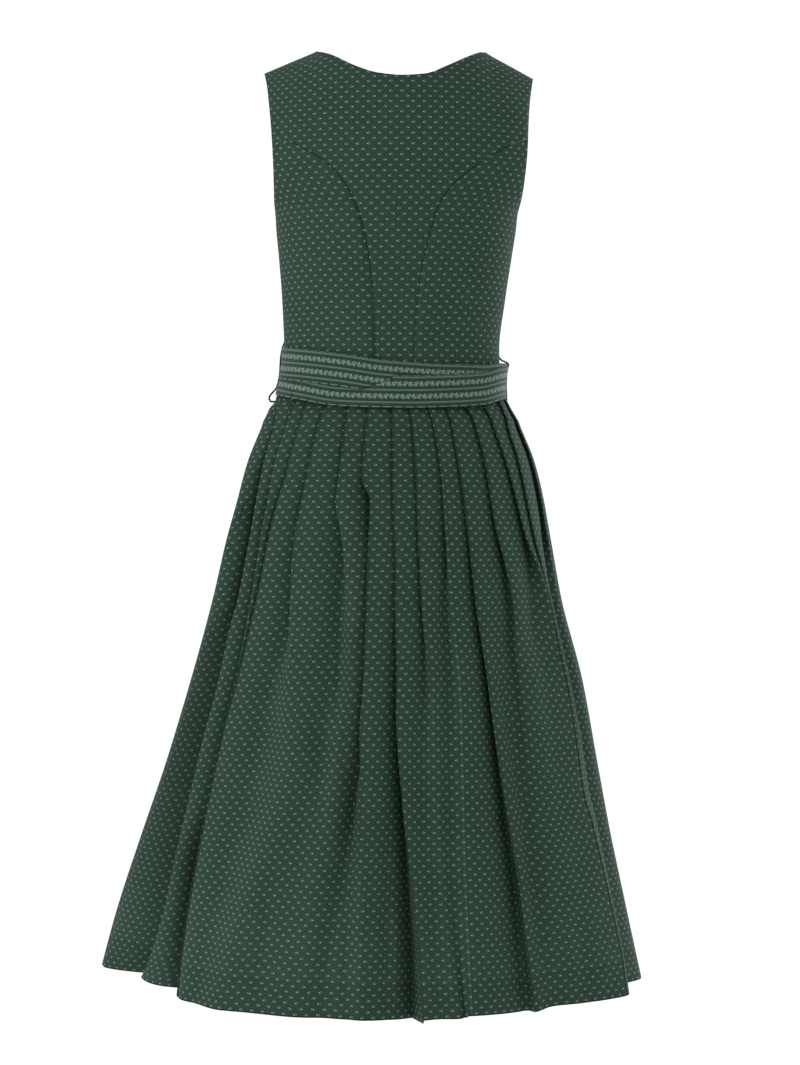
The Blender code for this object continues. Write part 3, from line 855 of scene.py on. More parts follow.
@cache
def cotton_material():
    """Bottle-green cotton with staggered rows of small woven figures: a bright knot beside a thin ring."""
    look = bpy.context.scene.dirndl_cloth
    g = Graph("bottle_green_cotton", 0.9, sheen=0.02, specular=0.12)
    across, up = g.cloth_place()
    across_pitch, up_pitch = look.across / MM, look.up / MM
    first = (across.cell(across_pitch), up.cell(up_pitch))
    second = (-across.cell(across_pitch, 0.5), up.cell(up_pitch, 0.5))
    in_second = (abs(first[0]) / across_pitch + abs(first[1]) / up_pitch) > 0.5
    x, y = (a + (b - a) * in_second for a, b in zip(first, second))
    wobble = g.noise(1.1, in_cloth=True) - 0.5
    x, y = (x + wobble * 0.5) * look.fineness, (y + wobble * 0.4) * look.fineness
    knot = (((x + 1.2) / 0.75) ** 2 + ((y + 0.15) / 0.66) ** 2).step(1.4, 0.4)
    from_ring = ((x - 0.7) ** 2 + (y - 0.1) ** 2).math("SQRT")
    ring = abs(from_ring - RING_RADIUS).step(0.5, 0.15) * (y - x * 0.6).step(1.7, 0.7)
    # Painted shade: the inside of the ring is darker, as the hollow of the raised figure would lie in
    # shade.
    ring_hollow_shade = from_ring.step(0.9, 0.45)
    shadow = ((x - 2.2) ** 2 + (y - 1.5) ** 2).step(0.9, 0.2)
    warp, weft = across.wave(WARP_PITCH), up.wave(WEFT_PITCH)
    slub = g.noise(14, stretch=(6, 0.05, 1), in_cloth=True) - 0.5
    patch = g.noise(60, detail=3.0) - 0.5
    tone = 1.0 + slub * 0.25 + patch * 0.22 + warp * weft * 0.1
    # Painted shade: the cloth is darker within about 2 mm of the garment's edges and of the hem's fold,
    # standing in for the shade at a turned edge.
    rim = g.attribute(RIM).step(1.9, 0.5)
    from_fold = g.attribute(ABOVE_HEM)
    hem_band = from_fold.step(HEM_DEPTH + 1, HEM_DEPTH - 1)
    hem_stitch = abs(from_fold - HEM_DEPTH - 0.5).step(1.6, 0.4)
    width_seam = abs(g.attribute(WIDTH_SEAM)).step(1.5, 0.5) * from_fold.step(*WIDTH_SEAM_END)
    seam = g.attribute(SEAM).step(1.1, 0.3)
    tone = tone * (1 - hem_band * 0.09 + hem_stitch * 0.14 + width_seam * 0.45) * (1 - seam * 0.6)
    # Painted light: the cloth is a little paler from 150 mm above the hem down, standing in for light from
    # the floor.
    tone = tone * (1 + from_fold.step(*PAINTED_LIGHT_BELOW) * 0.1)
    tone = tone * (1 - rim * 0.6) * (1 - ring_hollow_shade * 0.45) * (1 - shadow * 0.4)
    ground = g.blend(1.0, tuple(look.ground), g.grey(tone), "MULTIPLY")
    pale = knot.at_least(ring * 0.36) * (0.75 + g.noise(2.2, in_cloth=True) * 0.5)
    colour = g.blend(pale, ground, tuple(look.figure))
    # Painted shade: the colour is darkened in the pleats' pockets, standing in for the shadow there.
    colour = g.blend(1.0, colour, g.grey(1 - g.attribute(PAINTED_SHADE)), "MULTIPLY")
    wrinkle = g.noise(26, detail=4.0) * 0.5 + g.noise(5) * 0.05
    height = knot * 0.1 + ring * 0.06 + warp * weft * 0.02 + wrinkle
    return g.finish(colour, height)


# Places across the ribbon, from its top edge.
STRIPES = (2.6, 16.9, 31.0)
STRIPE_WIDTH = 2.1
FIGURE_ROWS = (9.8, 24.0)
FIGURE_SHIFT = 0.35
TOP_STITCHES, STITCHED_EDGE = 0.7, 36.0
JOIN_MARK = "join"


@cache
def ribbon_material():
    """Jacquard ribbon with smooth stripes, rows of broken sprigs between them and a stitched edge."""
    look = bpy.context.scene.dirndl_ribbon
    g = Graph("jacquard_ribbon", 0.75, sheen=0.1, specular=0.15)
    along, up = g.cloth_place()
    down = -up
    repeat = look.repeat / MM
    edge = STRIPE_WIDTH / 2
    stripes = reduce(Value.__add__, [abs(down - place).step(edge + 0.2, edge - 0.3) for place in STRIPES])
    mottle = g.noise(1.7, in_cloth=True) - 0.5
    bands = []
    for number, place in enumerate(FIGURE_ROWS):
        shift = FIGURE_SHIFT * number
        u, v = along.cell(repeat, shift), down - place
        band = (2.75 + (u * 2).wave(repeat) * 0.6 - abs(v)).step(-0.1, 0.6) * (0.42 + mottle * 0.9)
        for side in (1, -1):
            across, out = along.cell(repeat, shift + 0.25 * side), v * side + 1.3
            hook = ((across - out * 0.5) ** 2 + (out * 0.6) ** 2).step(1.5, 0.6)
            band = band * (1 - hook) + hook * 0.02
            knot = ((across + 2.2) ** 2 + (out * 0.7) ** 2).step(1.3, 0.2)
            band = band.at_least(knot * 0.85)
        bands.append(band)
    figures = reduce(Value.at_least, bands)
    stitches = abs(down - STITCHED_EDGE).step(0.75, 0.25) * abs(along.cell(repeat)).step(4.8, 4.0)
    stitches = stitches * (0.55 + mottle)
    top_stitches = abs(down - TOP_STITCHES).step(0.5, 0.2)
    top_stitches = top_stitches * abs(along.cell(repeat, 0.5)).step(4.6, 4.0) * 0.3
    rib = along.wave(0.7)
    patch = g.noise(30, detail=3.0) - 0.5
    tone = 1.0 + rib * 0.08 + patch * 0.25
    join = g.attribute(JOIN_MARK)
    tone = tone * (1 - join * 0.55)
    ground = g.blend(1.0, tuple(look.ground), g.grey(tone), "MULTIPLY")
    colour = g.blend(stripes * (1 - join * 0.6), ground, tuple(look.stripe))
    colour = g.blend(figures.at_least(stitches).at_least(top_stitches), colour, tuple(look.figure))
    height = stripes * 0.22 + figures * 0.12 + stitches * 0.1 + rib * 0.02 + g.noise(9) * 0.12
    return g.finish(colour, height)


THREAD_COLOURS = (0.007, 0.006, 0.008), (0.018, 0.017, 0.020)


@cache
def thread_material():
    """Dark twisted thread."""
    g = Graph("dark_thread", 0.7, sheen=0.1)
    fibres = g.noise(0.4)
    colour = g.blend(fibres, *THREAD_COLOURS)
    return g.finish(colour, fibres * 0.1)


# ---- Bodice ----

BODICE_LOW_ROWS, BODICE_ARMHOLE_ROWS, BODICE_SHOULDER_ROWS = 36, 16, 20
BODICE_HEIGHTS = np.concatenate(
    [
        np.linspace(WAIST, UNDERARM, BODICE_LOW_ROWS),
        np.linspace(UNDERARM, BODICE_CROWN, BODICE_ARMHOLE_ROWS + 1)[1:],
    ]
)
SHOULDER_TURNS = np.radians(np.linspace(0, 90, BODICE_SHOULDER_ROWS + 1)[1:])
CENTRE_COLUMNS, SIDE_COLUMNS = 44, 22

BODICE_CREASES = Creases(
    back=rows(
        Crease,
        (-108, -314, -122, -334, -1.1, 3), (-113, -312, -127, -332, 0.9, 4), (99, -326, 107, -343, -1, 3),
        (94, -328, 103, -345, 0.8, 4), (-40, -292, 32, -285, 0.7, 12), (-20, -318, 48, -322, 0.6, 9),
        (-96, -232, -60, -262, 0.6, 11), (60, -250, 96, -228, 0.6, 11), (-120, -160, -96, -196, 0.7, 9),
        (120, -158, 98, -192, 0.7, 9),
    ),
    front=rows(
        Crease,
        (-116, -166, -88, -190, 0.9, 9), (114, -164, 90, -188, 0.9, 9), (-62, -300, -12, -292, 0.7, 10),
        (10, -310, 66, -300, 0.7, 10), (-100, -262, -70, -290, 0.8, 9), (70, -286, 98, -258, 0.8, 9),
    ),
)
# The cloth dips at its seams, except at the garment's own edges. The lines of the seams show less below
# SEAM_FADE_TOP.
SEAM_DIP, SEAM_DIP_SPREAD, RIM_REACH = 0.5, 2.2, 8.0
SEAM_FADE, SEAM_FADE_TOP, SEAM_FADE_RUN = 0.45, -215, 40
NECK_REACH = 99.0
TOP_EDGE_PASSES = 4


def inset(edge, sense):
    """A panel's edge moved in by half the seam gap: sense is 1 on its left edge and -1 on its right one."""
    bearing, height = edge
    scale = np.radians(bodice_outline.centre_and_half(height)[1])
    along = np.gradient(bearing) * scale
    rise = np.gradient(height)
    length = np.hypot(along, rise)
    shift = sense * SEAM_GAP / 2
    drop = shift * along / length
    drop[[0, -1]] = 0.0
    return bearing + shift * rise / length / scale, height - drop


def seam_edge(table, side, front=False):
    across = column_curve(table, side)(BODICE_HEIGHTS)
    return bodice_outline.bearing_across(across, BODICE_HEIGHTS, front), BODICE_HEIGHTS


def armhole_edge(table, side, front=False):
    """The armhole from the last level row up to the shoulder tip."""
    tip = top_edge(getattr(table[-1], side))
    heights = mix(BODICE_CROWN, tip, np.sin(SHOULDER_TURNS))
    across = column_curve(table, side)(heights)
    return bodice_outline.bearing_across(across, heights, front), heights


def side_edge(table, side, front=False):
    """The side seam up to the underarm, and above it the armhole up to the last level row."""
    bearing, height = seam_edge(table, side, front)
    seam = -90.0 if side == "left" else 90.0
    return np.where(height <= UNDERARM + 1e-6, seam, bearing), height


def front_opening_edge(side):
    """The centre-front edge, and above it one side of the round neckline up to the shoulder seam."""
    sign = -1 if side == "left" else 1
    straight = BODICE_HEIGHTS[BODICE_HEIGHTS <= NECK_POINT - FRONT_NECK_DEPTH]
    arc_rows = len(BODICE_HEIGHTS) + len(SHOULDER_TURNS) - len(straight)
    turn = np.radians(90 * np.arange(1, arc_rows + 1) / arc_rows)
    heights = NECK_POINT - FRONT_NECK_DEPTH * np.cos(turn)
    bearings = bodice_outline.bearing_across(NECK_POINTS[side].across * np.sin(turn), heights, True)
    return (
        np.concatenate([np.full(len(straight), sign * 180.0), bearings]),
        np.concatenate([straight, heights]),
    )


def joined(*edges):
    return tuple(np.concatenate(parts) for parts in zip(*edges))


def crease_shape(crease, x, height):
    """How much of a crease's depth each point has: most at its middle, and less to its ends and sides."""
    run, rise = crease.end_across - crease.across, crease.end_height - crease.height
    length = np.hypot(run, rise)
    dx, dz = x - crease.across, height - crease.height
    along = (dx * run + dz * rise) / length
    aside = (dz * run - dx * rise) / length
    past = np.maximum(np.maximum(-along, along - length), 0)
    taper = np.sin(np.pi * np.clip(CREASE_LEAD + CREASE_BODY * along / length, 0.0, 1.0))
    return taper * np.exp(-((aside / crease.spread) ** 2) - (past / (CREASE_RUN_OUT * crease.spread)) ** 2)


def crease_depth(creases, x, height, back):
    """How deep the creases press the cloth in at each point."""
    depth = np.zeros_like(x)
    for table, here in ((creases.back, back), (creases.front, np.logical_not(back))):
        for crease in table:
            depth += np.where(here, crease.depth * crease_shape(crease, x, height), 0.0)
    return depth


def bodice_panel(left, right, columns, crowned=False):
    """The points of a panel between two edges, and their places in the flat cloth."""
    (left_bearing, left_height), (right_bearing, right_height) = inset(left, 1), inset(right, -1)
    shares = np.linspace(0, 1, columns)
    bearing = mix(left_bearing[:, None], right_bearing[:, None], shares)
    height = mix(left_height[:, None], right_height[:, None], shares)
    if crowned:
        plain, top = len(BODICE_HEIGHTS), BODICE_CROWN
        for _ in range(TOP_EDGE_PASSES):
            top = top_edge(bodice_outline.point(bearing[plain:], top)[0])
        height[plain:] = mix(BODICE_CROWN, top, np.sin(SHOULDER_TURNS)[:, None])
    elif len(height) > len(BODICE_HEIGHTS):
        for _ in range(TOP_EDGE_PASSES):
            height[-1] = top_edge(bodice_outline.point(bearing[-1], height[-1])[0])
    points, above_chest = bodice_point(bearing, height)
    middle = mix(left_bearing[0], right_bearing[0], 0.5)
    if abs(middle) > 90:
        middle = bearing[0, np.argmax(np.abs(bearing[0]))]
    weave = np.stack([bodice_outline.arc(middle, bearing, height), CHEST + above_chest], -1)
    return points, weave


def sheet_normals(points):
    """The outward normal at each point of a grid."""
    normal = np.cross(np.gradient(points, axis=1), np.gradient(points, axis=0))
    return normal / np.maximum(np.linalg.norm(normal, axis=-1, keepdims=True), 1e-9)


def press_in(points, depth):
    """Moves each point of a grid against the sheet's own normal by depth."""
    return points - sheet_normals(points) * depth[..., None]


def bodice_panels():
    """The edges, column count and garment edges of each bodice panel."""
    princess = {side: seam_edge(BACK_PRINCESS_SEAMS, side) for side in SIDES}
    armhole = {side: armhole_edge(BACK_ARMHOLES, side) for side in SIDES}
    front_princess = {side: seam_edge(FRONT_PRINCESS_SEAMS, side, True) for side in SIDES}
    front_armhole = {side: armhole_edge(FRONT_ARMHOLES, side, True) for side in SIDES}
    edges = [joined(princess[side], armhole[side]) for side in SIDES]
    panels = {"back_centre": (*edges, CENTRE_COLUMNS, True)}
    for side in SIDES:
        pairs = {
            f"back_side_{side}": [side_edge(BACK_ARMHOLES, side), princess[side]],
            f"front_side_{side}": [front_princess[side], side_edge(FRONT_ARMHOLES, side, True)],
            f"front_centre_{side}": [
                front_opening_edge(side),
                joined(front_princess[side], front_armhole[side]),
            ],
        }
        for name, pair in pairs.items():
            left, right = pair if side == "left" else pair[::-1]
            columns = CENTRE_COLUMNS if "centre" in name else SIDE_COLUMNS
            panels[name] = (left, right, columns, False)
    return panels


def garment_edge_distance(name, points, crowned):
    """How far each point of a panel is from the neck or armhole edge."""
    underarm, crown = BODICE_LOW_ROWS - 1, len(BODICE_HEIGHTS) - 1
    if crowned:
        neck = np.abs(points[-1, :, 0]) < NECK_REACH
        edges = [points[crown:, 0], points[crown:, -1], points[-1, neck]]
    elif "side" in name:
        edges = [points[underarm:, 0 if name in ("back_side_left", "front_side_right") else -1]]
    else:
        inner = -1 if name.endswith("left") else 0
        edges = [points[crown:, inner], points[underarm:, -1 - inner]]
    return np.minimum.reduce([np.linalg.norm(points[:, :, None] - edge, axis=-1).min(-1) for edge in edges])


class DIRNDL_OT_bodice(bpy.types.Operator):
    """Cut and place the seven panels of the bodice"""

    bl_idname = "dirndl.bodice"
    bl_label = "Bodice"

    def execute(self, context):
        wall = context.scene.dirndl_cloth.bodice_wall
        for name, (left, right, columns, crowned) in bodice_panels().items():
            points, weave = bodice_panel(left, right, columns, crowned)
            x, height = points[..., 0], points[..., 2]
            seams = distance_to_sides(points)
            depth = crease_depth(BODICE_CREASES, x, height, "back" in name)
            rim = garment_edge_distance(name, points, crowned)
            depth += SEAM_DIP * bell(seams, SEAM_DIP_SPREAD) * np.clip(rim / RIM_REACH, 0, 1)
            points = press_in(points, depth)
            seams += SEAM_FADE * np.clip((SEAM_FADE_TOP - height) / SEAM_FADE_RUN, 0, 1)
            far = np.full_like(rim, FAR)
            marks = {RIM: rim, SEAM: seams, ABOVE_HEM: far, WIDTH_SEAM: far, PAINTED_SHADE: 0 * far}
            obj = cloth_grid(f"{name}_cloth", points, weave, marks)
            give_wall(obj, wall)
            finish_piece(obj, cotton_material(), name)
        return {"FINISHED"}


# ---- Skirt ----


def front_folds():
    """The pleats of the hidden front, from the right side seam round to the left one."""
    first = 180 - FRONT_FOLD_PITCH * (FRONT_FOLD_COUNT - 1) / 2
    folds = []
    for i in range(FRONT_FOLD_COUNT):
        kind = FRONT_FOLD_KINDS[i % len(FRONT_FOLD_KINDS)]
        bearing = first + i * FRONT_FOLD_PITCH
        line = {-400: bearing, -560: bearing, HEM: bearing + kind.shift_hem}
        folds.append(Fold(line, kind.opening, kind.soft, kind.spare))
    return folds


class Pleats:
    """The columns of a pleated width, built up from one side seam to the other. Each column has a bearing,
    a depth inside the outline, a lift of its hem, and how soft and how stretchable its cloth is."""

    FIELDS = ("bearing", "depth", "lift", "soft", "give")

    def __init__(self, heights):
        self.heights = heights[:, None]
        self.parts = {name: [] for name in self.FIELDS}
        self.count = 0
        self.edges = []

    def add(self, **fields):
        shape = np.broadcast_shapes(*(np.shape(value) for value in fields.values()))
        for name in self.FIELDS:
            self.parts[name].append(np.broadcast_to(fields[name], (len(self.heights), shape[-1])))
        self.count += shape[-1]

    def field(self, name):
        return np.concatenate(self.parts[name], axis=1)


def tucked_share(opening, bearing, soft):
    """How much of a pleat's cloth is tucked away: less where it opens and softens, except far left."""
    return np.clip(np.maximum(1.5 - opening * 1.4, -bearing / 20 - 1), 0, 1) * np.exp(-soft / 3)


def pleated_width(folds, start, end, heights):
    """The columns of the skirt from bearing start to bearing end, and the ones that are pleat edges."""
    pleats = Pleats(heights)
    heights = pleats.heights
    fall = (WAIST - heights) / (WAIST - HEM)
    gap = mix(FOLD_NOSE_WAIST, FOLD_NOSE_HEM, fall)
    lines = (smooth_curve(fold.line)(heights) for fold in folds)
    bearings = [start + 0 * heights, *lines, end + 0 * heights]
    edge_depths = [SIDE_SEAM_DEPTH, *(fold.set_back * fall**2 for fold in folds), SIDE_SEAM_DEPTH]
    sags = [*(fold.sag * fall**4 for fold in folds), 0.0]
    shares = np.linspace(0, 1, TOP_POINTS + 1)
    back_shares = np.linspace(0, 1, BACK_POINTS)
    bends = np.radians(np.array([-45.0, 0.0, 45.0]))
    soft_before = SEAM_SOFTNESS
    for i, fold in enumerate([*folds, None]):
        left, right = bearings[i], bearings[i + 1]
        left_depth, right_depth = edge_depths[i], edge_depths[i + 1]
        per_mm = 1.0 / skirt_outline.arc(right - 0.5, right + 0.5, heights)
        lap = drop = 0.0
        belly, soft = 1.0, SEAM_SOFTNESS
        if fold:
            seen = skirt_outline.arc(left, right, heights)
            cloth = seen + smooth_curve(fold.spare)(heights)
            opening = np.radians(smooth_curve(fold.opening)(heights))
            lap = cloth / 2 * np.cos(opening) - seen / 2
            drop = np.sqrt(cloth**2 - seen**2) / 2 * np.sin(opening)
            soft = smooth_curve(fold.soft)(heights)
            belly = 1 + PANEL_BELLY * np.clip((np.degrees(opening) - BELLY_FROM) / BELLY_RUN, 0, 1)
        inner = right + lap * per_mm
        pleats.edges.append(pleats.count)
        pleats.add(
            bearing=mix(left, inner, shares),
            depth=mix(left_depth, right_depth, shares) + drop * shares**belly,
            lift=-sags[i] * shares**2,
            soft=mix(soft_before, soft, shares),
            give=1.0,
        )
        soft_before = soft
        if not fold:
            pleats.edges.append(pleats.count - 1)
            break
        layer = np.minimum(gap, drop * NOSE_SHARE) * np.cos(opening)
        bottom = right_depth + drop
        give = 1 + CLOSED_GIVE * tucked_share(opening, right, soft)
        hidden = {"lift": -sags[i], "soft": soft, "give": give}
        out, down = layer / 2 * np.cos(bends) * per_mm, layer / 2 * np.sin(bends)
        under = mix(bottom - layer, right_depth + layer, back_shares)
        pleats.add(bearing=inner + out, depth=bottom - layer / 2 - down, **hidden)
        pleats.add(bearing=mix(inner, right, back_shares), depth=under, **hidden)
        pleats.add(bearing=right - out, depth=right_depth + layer / 2 - down, **hidden)
    return pleats


def softened(pleats):
    """The bearings, depths and lifts of the columns, with each bend rounded as far as it is soft."""
    fields = [pleats.field(name) for name in ("bearing", "depth", "lift")]
    weight = pleats.field("soft") ** 2 / (SOFTENING_PASSES * SOFTENING_PITCH**2)
    weight = np.clip(weight, 0, 1)[:, 1:-1]
    for _ in range(SOFTENING_PASSES):
        for field in fields:
            middle = (field[:, :-2] + field[:, 2:]) / 2
            field[:, 1:-1] += weight * (middle - field[:, 1:-1])
    return fields


def skirt_points(bearing, depth, lift, heights):
    """Points of the skirt, depth inside its outline. The hem runs lower to the right."""
    heights = np.broadcast_to(heights[:, None], bearing.shape)
    back = np.cos(np.radians(bearing)) > 0
    depth = depth + crease_depth(SKIRT_CREASES, skirt_outline.point(bearing, heights)[0], heights, back)
    sideways = np.sin(np.radians(bearing))
    swell = np.where(sideways < 0, *(column_curve(SIDE_SWELL, side)(heights) for side in SIDES))
    swell = swell * np.clip((np.abs(sideways) - SWELL_FROM) / SWELL_RUN, 0, 1)
    x, y = skirt_outline.point(bearing, heights, swell - depth)
    fall = (WAIST - heights) / (WAIST - HEM)
    lift = lift + (smooth_curve(HEM_LIFT)(bearing) - HEM_TILT * sideways) * fall**2
    return np.stack([x, y, heights + lift], -1)


def skirt_weave(points, pleats, kept):
    """Where each point of a pleated width lies in the flat cloth. The edges of the kept pleats keep to one
    thread each, and the cloth hidden between them takes up what is left over."""
    step = np.hypot(np.diff(points[..., 0]), np.diff(points[..., 1]))
    give = step * pleats.field("give")[:, :-1]
    for first, following in zip(kept, kept[1:]):
        own = slice(pleats.edges[first], pleats.edges[following])
        length = step[:, own].sum(1)
        spread = give[:, own]
        step[:, own] += ((length.max() - length) / spread.sum(1))[:, None] * spread
    across = np.concatenate([np.zeros((len(points), 1)), np.cumsum(step, axis=1)], axis=1)
    x, z = np.ptp(points[..., 0], axis=1) / 2, points[:, points.shape[1] // 2, 2]
    up = np.concatenate([[0.0], np.cumsum(np.hypot(np.diff(x), np.diff(z)))])
    return np.stack([across, np.broadcast_to((up - up[-1])[:, None], across.shape)], -1)


def painted_pocket_shade(points, pleats, folds, heights, facing):
    """How much painted shade darkens the colour of each point in a pleat's pocket, from 0 to 1, standing in
    for the shadow under the pleat's edge. facing is -1 where the dress is seen from the back and 1 where it
    is seen from the front."""
    shade = np.zeros(points.shape[:2])
    for fold, first, lip in zip(folds, pleats.edges, pleats.edges[1:]):
        table = [Shade(*row) for row in fold.shade]
        strength, reach = (column_curve(table, key)(heights)[:, None] for key in ("strength", "reach"))
        strength = strength * np.exp(-smooth_curve(fold.soft)(heights)[:, None] / reach)
        beside = (points[:, first:lip, 0] - points[:, lip : lip + 1, 0]) * facing
        shade[:, first:lip] = strength * bell(np.maximum(beside, 0), reach)
        shade[:, first] = shade[:, first - 1] if first else 0.0
    return shade


def with_hem_turn(points, weave):
    """The grid with its hem turned up inside: rows that follow the lowest ones back up, further in."""
    normal = sheet_normals(points)
    above_hem = np.linalg.norm(points - points[:1], axis=-1).mean(1)
    levels, threads = [], []
    for rise in np.linspace(HEM_DEPTH, 0, HEM_TURN_ROWS):
        at = np.interp(rise, above_hem, np.arange(len(above_hem)))
        low, share = int(at), at % 1
        inwards = mix(normal[low], normal[low + 1], share)
        levels.append(mix(points[low], points[low + 1], share) - inwards * HEM_TURN_GAP)
        threads.append(weave[0] - np.array([0.0, rise + 1]))
    return np.concatenate([np.array(levels), points]), np.concatenate([np.array(threads), weave])


class DIRNDL_OT_skirt(bpy.types.Operator):
    """Pleat the back and the front of the skirt"""

    bl_idname = "dirndl.skirt"
    bl_label = "Skirt"

    def execute(self, context):
        wall = context.scene.dirndl_cloth.skirt_wall
        gap = math.degrees(SEAM_GAP / 2 / float(skirt_outline.centre_and_half(WAIST)[1]))
        heights = np.linspace(HEM, WAIST - SEAM_GAP, SKIRT_ROWS)
        for name, folds, start, kept, join in (
            ("skirt_back", BACK_FOLDS, -90.0, BACK_KEPT, BACK_WIDTHS_JOIN),
            ("skirt_front", front_folds(), 90.0, FRONT_KEPT, FRONT_WIDTHS_JOIN),
        ):
            pleats = pleated_width(folds, start + gap, start + 180 - gap, heights)
            points = skirt_points(*softened(pleats), heights)
            weave = skirt_weave(points, pleats, kept)
            seams = distance_to_sides(points)
            points = press_in(points, SIDE_SEAM_DIP * bell(seams, SIDE_SEAM_SPREAD))
            # Painted shade for the pleats' pockets, which darkens the cloth's colour.
            shade = painted_pocket_shade(points, pleats, folds, heights, -1 if start < 0 else 1)
            shade = np.concatenate([np.repeat(shade[:1], HEM_TURN_ROWS, 0), shade])
            points, weave = with_hem_turn(points, weave)
            above_hem = weave[..., 1] - weave[HEM_TURN_ROWS, 0, 1]
            marks = {
                RIM: abs(above_hem),
                SEAM: np.full_like(above_hem, FAR),
                ABOVE_HEM: above_hem,
                WIDTH_SEAM: weave[..., 0] - weave[-1, pleats.edges[join], 0],
                PAINTED_SHADE: shade,
            }
            obj = cloth_grid(f"{name}_cloth", points, weave, marks)
            give_wall(obj, wall)
            finish_piece(obj, cotton_material(), name)
        return {"FINISHED"}


# ---- Ribbon ----

RIBBON_COLUMN_PITCH = 0.9
RIBBON_ROWS = 13
RIBBON_MIDDLE = -366.0
RIBBON_LAST_STEP = 3.0
# Near the right side seam the ribbon leans out, the more the higher above FLARE_FOOT.
FLARE, FLARE_BEARING, FLARE_SPREAD = 4.0, 92, 16
FLARE_FOOT, FLARE_RUN, FLARE_MOST = -372, 24, 1.1
Join = namedtuple("Join", "bearing darkness rise")
RIBBON_JOINS = {"ribbon_upper": Join(53, -1.4, 0.5), "ribbon_lower": Join(-57, 1.3, 0.6)}
# A join's dark line has this spread, and its raised end a rise this steep and a fall this long.
JOIN_SPREAD, JOIN_STEEPNESS, JOIN_RUN_OUT = 0.7, 6, 7


def ribbon_bearings():
    """The bearings of the ribbon's columns, with one at each corner of a crossing."""
    corners = []
    for start, end, *_, spread in (BACK_CROSSING, FRONT_CROSSING):
        corners += [start - spread, start, (start + end) / 2, end, end + spread]
    even = np.arange(-180, 180, RIBBON_COLUMN_PITCH)
    away = np.abs(even[:, None] - np.array(corners)).min(1)
    return np.sort(np.concatenate([even[away > RIBBON_COLUMN_PITCH / 3], corners]))


def ribbon_turn(upper):
    """The inner face of one turn of ribbon: its points, its places in the flat ribbon and its bearings."""
    bearings = ribbon_bearings()
    top = column_curve(RIBBON_PATH, "upper_top")(bearings)
    bottom = column_curve(RIBBON_PATH, "lower_bottom")(bearings)
    low, high = (top - RIBBON_WIDTH, top) if upper else (bottom, bottom + RIBBON_WIDTH)
    crest = high.copy()
    outside = np.where((bearings > BACK_CROSSING.end) & (bearings < FRONT_CROSSING.start), 1.0, 0.0)
    for crossing, falls in ((BACK_CROSSING, False), (FRONT_CROSSING, True)):
        share = (bearings - crossing.start) / (crossing.end - crossing.start)
        inside = (share >= 0) & (share <= 1)
        line = mix(crossing.start_height, crossing.end_height, np.clip(share, 0, 1))
        if upper:
            low = np.where(inside, np.maximum(low, line + SEAM_GAP), low)
        else:
            high = np.where(inside, np.minimum(high, line - SEAM_GAP), high)
        outside = np.where(inside, 1 - share if falls else share, outside)
    lift = RIBBON_LAYER * (1 - outside if upper else outside)
    shares = np.linspace(0, 1, RIBBON_ROWS)[:, None]
    height = mix(low, high, shares)
    bearing = np.broadcast_to(bearings, height.shape)
    flare = FLARE * bell(bearing - FLARE_BEARING, FLARE_SPREAD)
    flare = flare * np.clip((height - FLARE_FOOT) / FLARE_RUN, 0, FLARE_MOST) ** 2
    x, y = ribbon_outline.point(bearing, height, lift + flare)
    points = np.stack([x, y, height], -1)
    middle = ribbon_outline.point(bearings, np.full_like(bearings, RIBBON_MIDDLE))
    along = np.concatenate([[0], np.cumsum(np.hypot(np.diff(middle[0]), np.diff(middle[1])))])
    weave = np.stack([np.broadcast_to(along, height.shape), height - crest], -1)
    return points, weave, bearings


class DIRNDL_OT_ribbon(bpy.types.Operator):
    """Wind the woven ribbon twice round the waist"""

    bl_idname = "dirndl.ribbon"
    bl_label = "Ribbon"

    def execute(self, context):
        wall = context.scene.dirndl_ribbon.wall
        for name, upper in (("ribbon_upper", True), ("ribbon_lower", False)):
            points, weave, bearings = ribbon_turn(upper)
            join = RIBBON_JOINS[name]
            mark = join.darkness * bell(bearings - join.bearing, JOIN_SPREAD)
            past = np.maximum(bearings - join.bearing, 0)
            step = join.rise * (1 - np.exp(-past * JOIN_STEEPNESS)) * np.exp(-past / JOIN_RUN_OUT)
            points = press_in(points, np.broadcast_to(-step, points.shape[:2]))
            points = np.concatenate([points, points[:, :1]], axis=1)
            weave = np.concatenate([weave, weave[:, -1:] + (RIBBON_LAST_STEP, 0.0)], axis=1)
            marks = np.broadcast_to(np.append(mark, mark[0]), points.shape[:2])
            obj = cloth_grid(f"{name}_turn", points, weave, {JOIN_MARK: marks}, closed=True)
            give_wall(obj, wall, outwards=True)
            finish_piece(obj, ribbon_material(), name)
        return {"FINISHED"}


# ---- Thread loops ----

LOOP_BEARING = 99.0
# The points of each loop, across and up.
LOOPS = {
    "belt_loop_left": (
        (-132.2, -320), (-135, -327), (-137.2, -340), (-138.2, -356), (-141.4, -372), (-150.5, -385.5),
        (-148, -389.5), (-143.5, -389.5),
    ),
    "belt_loop_right": (
        (114, -336), (118, -341), (126.5, -346.5), (124.6, -356), (123.8, -372), (124.4, -390), (122, -397),
    ),
}
STRAND_RADIUS, STRAND_OFFSET, STRAND_PITCH = 0.72, 0.5, 4.5
STRAND_STEPS = 120


def loop_line(points, depth, steps):
    """The middle line of a loop: a smooth curve through its points."""
    points = np.array(points)
    along = np.concatenate([[0], np.cumsum(np.hypot(*np.diff(points, axis=0).T))])
    at = np.linspace(0, along[-1], steps)
    out, height = (smooth_curve(dict(zip(along, column)))(at) for column in points.T)
    return np.stack([out, np.full(steps, depth), height], -1), at


